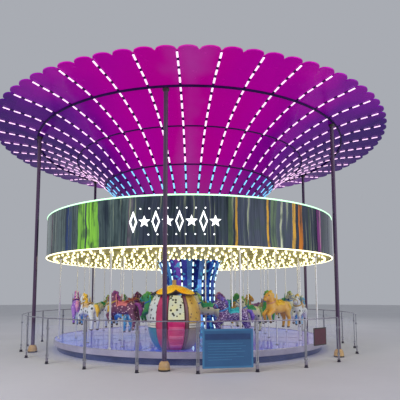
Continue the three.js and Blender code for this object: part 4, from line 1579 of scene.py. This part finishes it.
def shell_outline(low, high, out=0.0, rows=8):
    """A stretch of the shell between two heights, moved out or in."""
    heights = [low + (high - low) * i / rows for i in range(rows + 1)]
    return [(radius_at(height) + out, height) for height in heights]


def face_out(piece):
    """Turn an open turned sheet so that its faces look away from the axis."""
    return faced(piece, lambda face: face.normal.xy.dot(face.center.xy))


def gore(azimuth, width, low, high, finish, out=0.0, rows=8):
    """One painted strip of the pumpkin with its own thickness and rounded edges."""
    sweep = width - 2 * GORE_GAP
    steps = max(3, round(width / GORE_STEP))
    piece = turned("gore", shell_outline(low, high, out, rows), steps, azimuth - sweep / 2, sweep,
                   angle=50)
    shape_with(face_out(piece), "SOLIDIFY", thickness=SHELL_WALL, offset=-1.0)
    return coat(smooth(rounded(piece, 0.005), 50), finish)


print("shell radius at 0.65 m", round(radius_at(0.65), 3))

# %% Carriage paints
door_pink = painted("door_pink", rgb(0.62, 0.01, 0.16), rgb(0.74, 0.05, 0.2), 3.0, 0.3)
crimson = painted("crimson", rgb(0.42, 0.02, 0.1), rgb(0.56, 0.05, 0.15), 4.0, 0.3)
# The battens' lighter pink is a painted highlight on their rounded faces.
batten_highlight_pink = painted("batten_highlight_pink", rgb(0.76, 0.08, 0.25), rgb(0.86, 0.18, 0.36), 3.0, 0.3)
mauve_brown = painted("mauve_brown", rgb(0.16, 0.05, 0.07), rgb(0.24, 0.09, 0.11), 4.0, 0.35)
teal = painted("teal", rgb(0.02, 0.18, 0.28), rgb(0.03, 0.26, 0.38), 3.0, 0.3)
taupe = painted("taupe", rgb(0.26, 0.2, 0.15), rgb(0.38, 0.29, 0.22), 3.0, 0.35)
ivory_bar = painted("ivory_bar", rgb(0.72, 0.68, 0.56), rgb(0.82, 0.78, 0.68), 8.0, 0.3)
white_dots = dotted("white_dots", rgb(0.72, 0.76, 0.74), rgb(0.6, 0.66, 0.66),
                    rgb(0.02, 0.03, 0.05), 9.0, 0.32)
golden_dots = dotted("golden_dots", rgb(0.68, 0.36, 0.06), rgb(0.85, 0.56, 0.1),
                     rgb(0.25, 0.13, 0.03), 9.0, 0.25)
# The inner cream gets a painted glow as if lit inside, and the cap a weaker one: painted light.
cream_dots = with_painted_glow(dotted("cream_dots", rgb(0.8, 0.76, 0.5), rgb(0.68, 0.72, 0.72),
                                    rgb(0.008, 0.008, 0.012), 11.0, 0.36), 0.35)
piping_brown = painted("piping_brown", rgb(0.05, 0.02, 0.025), rgb(0.09, 0.04, 0.04), 10.0, 0.4)
cap_yellow = with_painted_glow(
    painted("cap_yellow", rgb(0.92, 0.36, 0.005), rgb(0.92, 0.66, 0.06), 3.5, 0.25), 0.15)
print("carriage paints ready")

# %% Gores, battens and bars
RIM_LOW = 0.012
RIM_HIGH = 1.292
BAR_BAND = (0.53, 0.64)
BARS = [(0.535, 0.58), (0.59, 0.635)]
BATTEN_HEIGHTS = [0.07, 0.28, 0.49]
BATTEN_WIDTH = 0.075
WINDOW_LOW = 0.7
SECTORS = [(19, 27, "brown rib"), (27, 82, "golden"), (82, 109, "crimson rib"),
           (109, 164, "white"), (164, 172, "brown rib"), (172, 227, "golden"),
           (227, 259, "crimson rib"), (259, 314, "white"), (314, 341, "crimson rib")]
RIB_PAINTS = {"brown rib": mauve_brown, "crimson rib": crimson}
PANEL_PAINTS = {"golden": (taupe, golden_dots), "white": (teal, white_dots)}
parts = [gore(0, DOOR_WIDTH, RIM_LOW, WINDOW_LOW - 0.01, door_pink)]
for first, last, kind in SECTORS:
    middle = (first + last) / 2
    width = last - first
    if kind in RIB_PAINTS:
        parts.append(gore(middle, width, RIM_LOW, RIM_HIGH, RIB_PAINTS[kind], out=0.006,
                          rows=14))
        continue
    lower, upper = PANEL_PAINTS[kind]
    parts.append(gore(middle, width, RIM_LOW, BAR_BAND[0], lower))
    parts.append(gore(middle, width, BAR_BAND[1], RIM_HIGH, upper))
    for low, high in BARS:
        parts.append(gore(middle, width, low, high, ivory_bar, out=0.012, rows=3))
for height in BATTEN_HEIGHTS:
    parts.append(gore(0, DOOR_WIDTH - 6, height, height + BATTEN_WIDTH, batten_highlight_pink, out=0.006,
                      rows=3))
shell = to_carriage(joined("carriage_gores", parts))
show(shell, "turntable", "carriage_shell", "carriage_body")
print("gores", len(parts), "faces", len(shell.data.polygons))

# %% [markdown]
# The liner closes the gaps between the gores. Its outer side is dark, and its inner side is cream
# with dots, so the Solidify modifier gives the inner faces the second material. The window is
# opened by deleting the faces in front of it.

# %% Liner, floor and bench
def open_window(piece, half_angle, low):
    """Delete the faces of a turned wall in the window, from its sill up."""
    with editing(piece, "FACE"):
        wall = bmesh.from_edit_mesh(piece.data)
        for face in wall.faces:
            spot = face.calc_center_median()
            turn = math.degrees(math.atan2(spot.x, -spot.y))
            face.select = abs(turn) < half_angle and low < spot.z
        bmesh.update_edit_mesh(piece.data)
        bpy.ops.mesh.delete(type="FACE")


LINER_GAP = 0.002
LINER_LOW = 0.02
liner_outline = [(0.0, LINER_LOW), (0.2, LINER_LOW)]
liner_outline += shell_outline(LINER_LOW, RIM_HIGH, out=-SHELL_WALL - LINER_GAP, rows=18)
liner = turned("carriage_liner", liner_outline, steps=90, start=2.0, angle=50)
open_window(face_out(liner), DOOR_WIDTH / 2, WINDOW_LOW)
two_faced(liner, piping_brown, cream_dots, rim=0, thickness=0.012, offset=-1.0)
to_carriage(smooth(liner, 50))
show(liner, "turntable", "carriage_shell")

BENCH = {"steps": 24, "start": 95, "sweep": 170, "closed": True}
bench = turned("carriage_bench", box_outline(0.16, 0.555, 0.34, 0.45, chamfer=0.02), **BENCH)
apron = turned("carriage_apron", box_outline(0.2, 0.23, 0.03, 0.345), **BENCH)
bench = coat(joined("carriage_bench", [bench, apron]), cream_dots)
show(to_carriage(bench), "turntable", "carriage_shell")
print("liner faces", len(liner.data.polygons))

# %% [markdown]
# The cap is a leaf of five lobes with a stalk. One lobe is spun, its edge is drawn in towards the
# two notches, and an Array about the axis repeats it five times. Its underside and lip are dark.

# %% Leaf cap with a stalk
CAP_ROWS = [(0.0, 1.552), (0.1, 1.54), (0.22, 1.505), (0.32, 1.465), (0.41, 1.415), (0.48, 1.37),
            (0.54, 1.328), (0.583, 1.305), (0.6, 1.312)]
LOBES = 5
LOBE_STEPS = 12
NOTCH_DEPTH = 0.2
NOTCH_RISE = 0.115
NOTCH_POWER = 2.4
LIP_START = 0.3


def cap_lobe():
    """One lobe: deepest in its middle, drawn in and up towards the notches."""
    width = 360 / LOBES
    lobe = turned("lobe", CAP_ROWS, LOBE_STEPS, sweep=width, angle=60)
    with editing(lobe):
        for step in range(LOBE_STEPS + 1):
            across = abs(2 * step / LOBE_STEPS - 1) ** NOTCH_POWER
            outwards = point_at(width * step / LOBE_STEPS)
            for radius, height in CAP_ROWS:
                share = (radius - LIP_START) / (CAP_ROWS[-1][0] - LIP_START)
                if share <= 0 or across == 0:
                    continue
                spot = outwards * radius + Vector((0, 0, height))
                pick_verts(lobe, lambda _, co, spot=spot: (co - spot).length < 0.001)
                move = Vector((0, 0, NOTCH_RISE * share)) - outwards * NOTCH_DEPTH * share
                bpy.ops.transform.translate(value=move * across)
    return lobe


cap = face_up(tidy_mesh(ring_of(cap_lobe(), LOBES)))
two_faced(cap, cap_yellow, piping_brown, rim=1, thickness=0.018, offset=-1.0)
smooth(cap, 50)
stalk = turned("stalk", [(0.07, 1.535), (0.055, 1.555), (0.048, 1.6), (0.052, 1.65),
                         (0.045, 1.668), (0.0, 1.67)], steps=16)
coat(stalk, foot_gold)
cap = to_carriage(joined("carriage_leaf", [cap, stalk]))
show(cap, "turntable", "carriage_cap", "carriage_cap")
print("cap faces", len(cap.data.polygons))

# %% [markdown]
# ## The glass fence
#
# The fence stands on the ground round the ride, with one gap as the entrance. A post is a pair of
# flat steel bars on a dark foot, with clamps that hold the panes. The rail is a tube along the
# post tops: a chain turned into a curve, given a round section and turned back into a mesh.

# %% Fence post
FENCE_RADIUS = 5.112
FENCE_START = 1.9
FENCE_STEP = 14.2
FENCE_FIRST = -21
FENCE_RUNS = 4
BAYS = 6
RAIL_HEIGHT = 1.053
RAIL_RADIUS = 0.014
GLASS_LOW = 0.11
GLASS_HIGH = 0.9
CLAMP_HEIGHTS = [0.19, 0.82]
PANE_GAP = 0.06
half_bay = math.radians(FENCE_STEP / 2)
glass_radius = FENCE_RADIUS * math.cos(half_bay)
bay_length = 2 * FENCE_RADIUS * math.sin(half_bay)

foot = turned("foot", [(0.0, 0.0), (0.045, 0.0), (0.045, 0.012), (0.036, 0.016), (0.036, 0.055),
                       (0.03, 0.06), (0.0, 0.06)], steps=20)
coat(foot, dark_steel)
bars = [block("bar", (0.027, 0.014, 0.985), (side * 0.0195, 0, 0.54), bevel=0.002, segments=1)
        for side in (1, -1)]
clamps = [block("clamp", (0.08, 0.042, 0.05), (0, 0, height), bevel=0.006)
          for height in CLAMP_HEIGHTS]
arm = block("arm", (0.03, 0.02, 0.03), (0, 0, 1.03), segments=1)
for piece in bars + clamps + [arm]:
    coat(piece, steel)
shoe = coat(block("shoe", (0.07, 0.03, 0.09), (0, 0, 0.1)), rail_steel)
fence_post = joined("fence_post", [foot, shoe, arm] + bars + clamps)
print("fence post faces", len(fence_post.data.polygons))

# %% [markdown]
# The panes are clear, so the glass finish carries only soft smears in its alpha and roughness. Each
# of the four runs has a rail from its first post to the next run's first post, and the last run
# ends with a post of its own beside the entrance.

# %% Glass and rail
def glass_finish():
    """Clear pane with a faint blue tint and soft smears."""
    made, tree, shader = new_finish("fence_glass", {"Base Color": rgb(0.4, 0.45, 0.75),
                                                    "Specular IOR Level": 0.35})
    smears = noise(tree, 2.2, 4.0)
    tree.links.new(stretch(tree, smears, 0.35, 0.75, 0.02, 0.09), shader.inputs["Alpha"])
    tree.links.new(stretch(tree, smears, 0.3, 0.7, 0.03, 0.12), shader.inputs["Roughness"])
    return made


def tube(name, points, radius):
    """A round tube along points."""
    piece = chain(name, points)
    work_on(piece)
    bpy.ops.object.convert(target="CURVE")
    piece = bpy.context.object
    piece.data.bevel_depth = radius
    piece.data.bevel_resolution = 4
    piece.data.use_fill_caps = True
    bpy.ops.object.convert(target="MESH")
    return smooth(named(bpy.context.object, name), 50)


fence_glass = glass_finish()
print("glass ready")

# %% Runs of fence
pane = block("pane", (bay_length - PANE_GAP, 0.012, GLASS_HIGH - GLASS_LOW),
             (0, 0, (GLASS_HIGH + GLASS_LOW) / 2), bevel=0.003)
for run in range(FENCE_RUNS):
    first = FENCE_FIRST + BAYS * run
    post_count = BAYS + (run == FENCE_RUNS - 1)
    azimuths = [FENCE_START + FENCE_STEP * (first + i) for i in range(BAYS + 1)]
    frame_parts = [place(twin(fence_post, "post_copy"), azimuth, FENCE_RADIUS)
                   for azimuth in azimuths[:post_count]]
    rail = tube("rail", [point_at(azimuth, FENCE_RADIUS, RAIL_HEIGHT) for azimuth in azimuths],
                RAIL_RADIUS)
    frame_parts.append(coat(rail, rail_steel))
    railing = joined(f"fence_frame_{run + 1}", frame_parts)
    show(railing, "root", "fence_glass", f"fence_{run + 1}")
    panes = [place(twin(pane, "pane_copy"), azimuth + FENCE_STEP / 2, glass_radius)
             for azimuth in azimuths[:BAYS]]
    panes = coat(joined(f"fence_panes_{run + 1}", panes), fence_glass)
    show(panes, "root", "fence_glass")
discard(fence_post, pane)
print("fence bays", FENCE_RUNS * BAYS)

# %% [markdown]
# Two plates hang on the outer face of the glass: a large blue notice board and a small dark red
# plate by the entrance. Neither has lettering: the board has plain ruled lines, and the small plate
# is bare. An inset makes their raised frames.

# %% A plate with a raised frame
FIELD_DEPTH = 0.003


def framed_plate(name, width, height, thickness, border, finish, frame_finish):
    """A plate whose front has a raised frame and a sunk field."""
    plate = block(name, (width, thickness, height))
    with editing(plate, "FACE"):
        board = bmesh.from_edit_mesh(plate.data)
        widest = max(board.faces, key=lambda face: face.calc_area() * -face.normal.y)
        for face in board.faces:
            face.select = face == widest
        bmesh.update_edit_mesh(plate.data)
        bpy.ops.mesh.inset(thickness=border)
        bpy.ops.transform.translate(value=(0, FIELD_DEPTH, 0))
    coat(plate, frame_finish)
    edge = min(face.center.y for face in plate.data.polygons)
    return coat(plate, finish, lambda spot: abs(spot.y - edge - FIELD_DEPTH) < FIELD_DEPTH / 2
                and abs(spot.x) < width / 2 - border and abs(spot.z) < height / 2 - border)


print("plate maker ready")

# %% Notice board
board_blue = painted("board_blue", rgb(0.022, 0.1, 0.24), rgb(0.032, 0.13, 0.3), 2.0, 0.4)
board_edge = painted("board_edge", rgb(0.04, 0.17, 0.36), rgb(0.06, 0.22, 0.42), 3.0, 0.35)
board_band = painted("board_band", rgb(0.01, 0.045, 0.15), rgb(0.015, 0.06, 0.2), 4.0, 0.4)
BOARD_AZIMUTH = 9
MARK_DEPTH = -0.0085
LINE_WIDTHS = [0.74, 0.8, 0.7, 0.78, 0.6, 0.76, 0.5]
LINE_LEFT = -0.42
LINE_TOP = 0.1
LINE_PITCH = 0.055
board = framed_plate("notice_plate", width=1.08, height=0.8, thickness=0.018, border=0.035,
                     finish=board_blue, frame_finish=board_edge)
band = block("band", (0.96, 0.006, 0.12), (0, MARK_DEPTH, 0.24), bevel=0.002, segments=1)
marks = [coat(band, board_band)]
for i, width in enumerate(LINE_WIDTHS):
    spot = (width / 2 + LINE_LEFT, MARK_DEPTH, LINE_TOP - LINE_PITCH * i)
    line = block("line", (width, 0.005, 0.014), spot, bevel=0.001, segments=1)
    marks.append(coat(line, board_edge))
board = joined("notice_plate", [board] + marks)
place(board, BOARD_AZIMUTH, glass_radius + 0.0165, height=0.5)
show(board, "root", "board_paint", "notice_board")
print("board faces", len(board.data.polygons))

# %% Small plate
plate_red = painted("plate_red", rgb(0.075, 0.007, 0.025), rgb(0.11, 0.01, 0.035), 5.0, 0.4)
PLATE_AZIMUTH = 37.4
PLATE_SHIFT = -0.12
plate = framed_plate("small_plate", width=0.47, height=0.4, thickness=0.016, border=0.02,
                     finish=plate_red, frame_finish=rim_black)
plate.location.x = PLATE_SHIFT
settle(plate)
place(plate, PLATE_AZIMUTH, glass_radius + 0.0145, height=0.65)
show(plate, "root", "sign_paint", "small_sign")
print("plate faces", len(plate.data.polygons))

# %% [markdown]
# ## Floor and light
#
# The stage is a plain pale floor under a pale sky, with three large soft lamps. It is kept a
# little dim, so that the ride's own lamps still read as lit, and only the fill lamp is mirrored in
# the glossy sheets.

# %% Floor
FLOOR_RADIUS = 60.0
deselect()
bpy.ops.mesh.primitive_circle_add(vertices=64, radius=FLOOR_RADIUS, fill_type="NGON")
floor = named(bpy.context.object, "floor")
coat(floor, painted("floor_pale", rgb(0.6, 0.6, 0.62), rgb(0.64, 0.64, 0.66), 0.4, 0.6,
                    {"Specular IOR Level": 0.3}, 0.02))
print("floor", FLOOR_RADIUS)

# %% Sky and lamps
SKY_COLOR = rgb(0.72, 0.75, 0.82)
SKY_STRENGTH = 0.55
world = bpy.data.worlds.new("pale_room")
world.use_nodes = True
backdrop = world.node_tree.nodes["Background"]
backdrop.inputs["Color"].default_value = SKY_COLOR
backdrop.inputs["Strength"].default_value = SKY_STRENGTH
scene.world = world
scene.view_settings.view_transform = "Standard"

AIM = Vector((0, 0, 2.5))
LAMPS = [("key", (-9.0, -12.0, 9.0), 7.0, 900.0), ("fill", (11.0, -9.0, 6.0), 12.0, 450.0),
         ("back", (2.0, 13.0, 11.0), 9.0, 600.0)]
for name, spot, size, power in LAMPS:
    light = bpy.data.lights.new(name, "AREA")
    light.size = size
    light.energy = power
    stand = bpy.data.objects.new(name, light)
    stand.visible_glossy = name == "fill"
    stand.location = spot
    stand.rotation_euler = (AIM - Vector(spot)).to_track_quat("-Z", "Y").to_euler()
    scene.collection.objects.link(stand)
print("lamps", len(LAMPS))
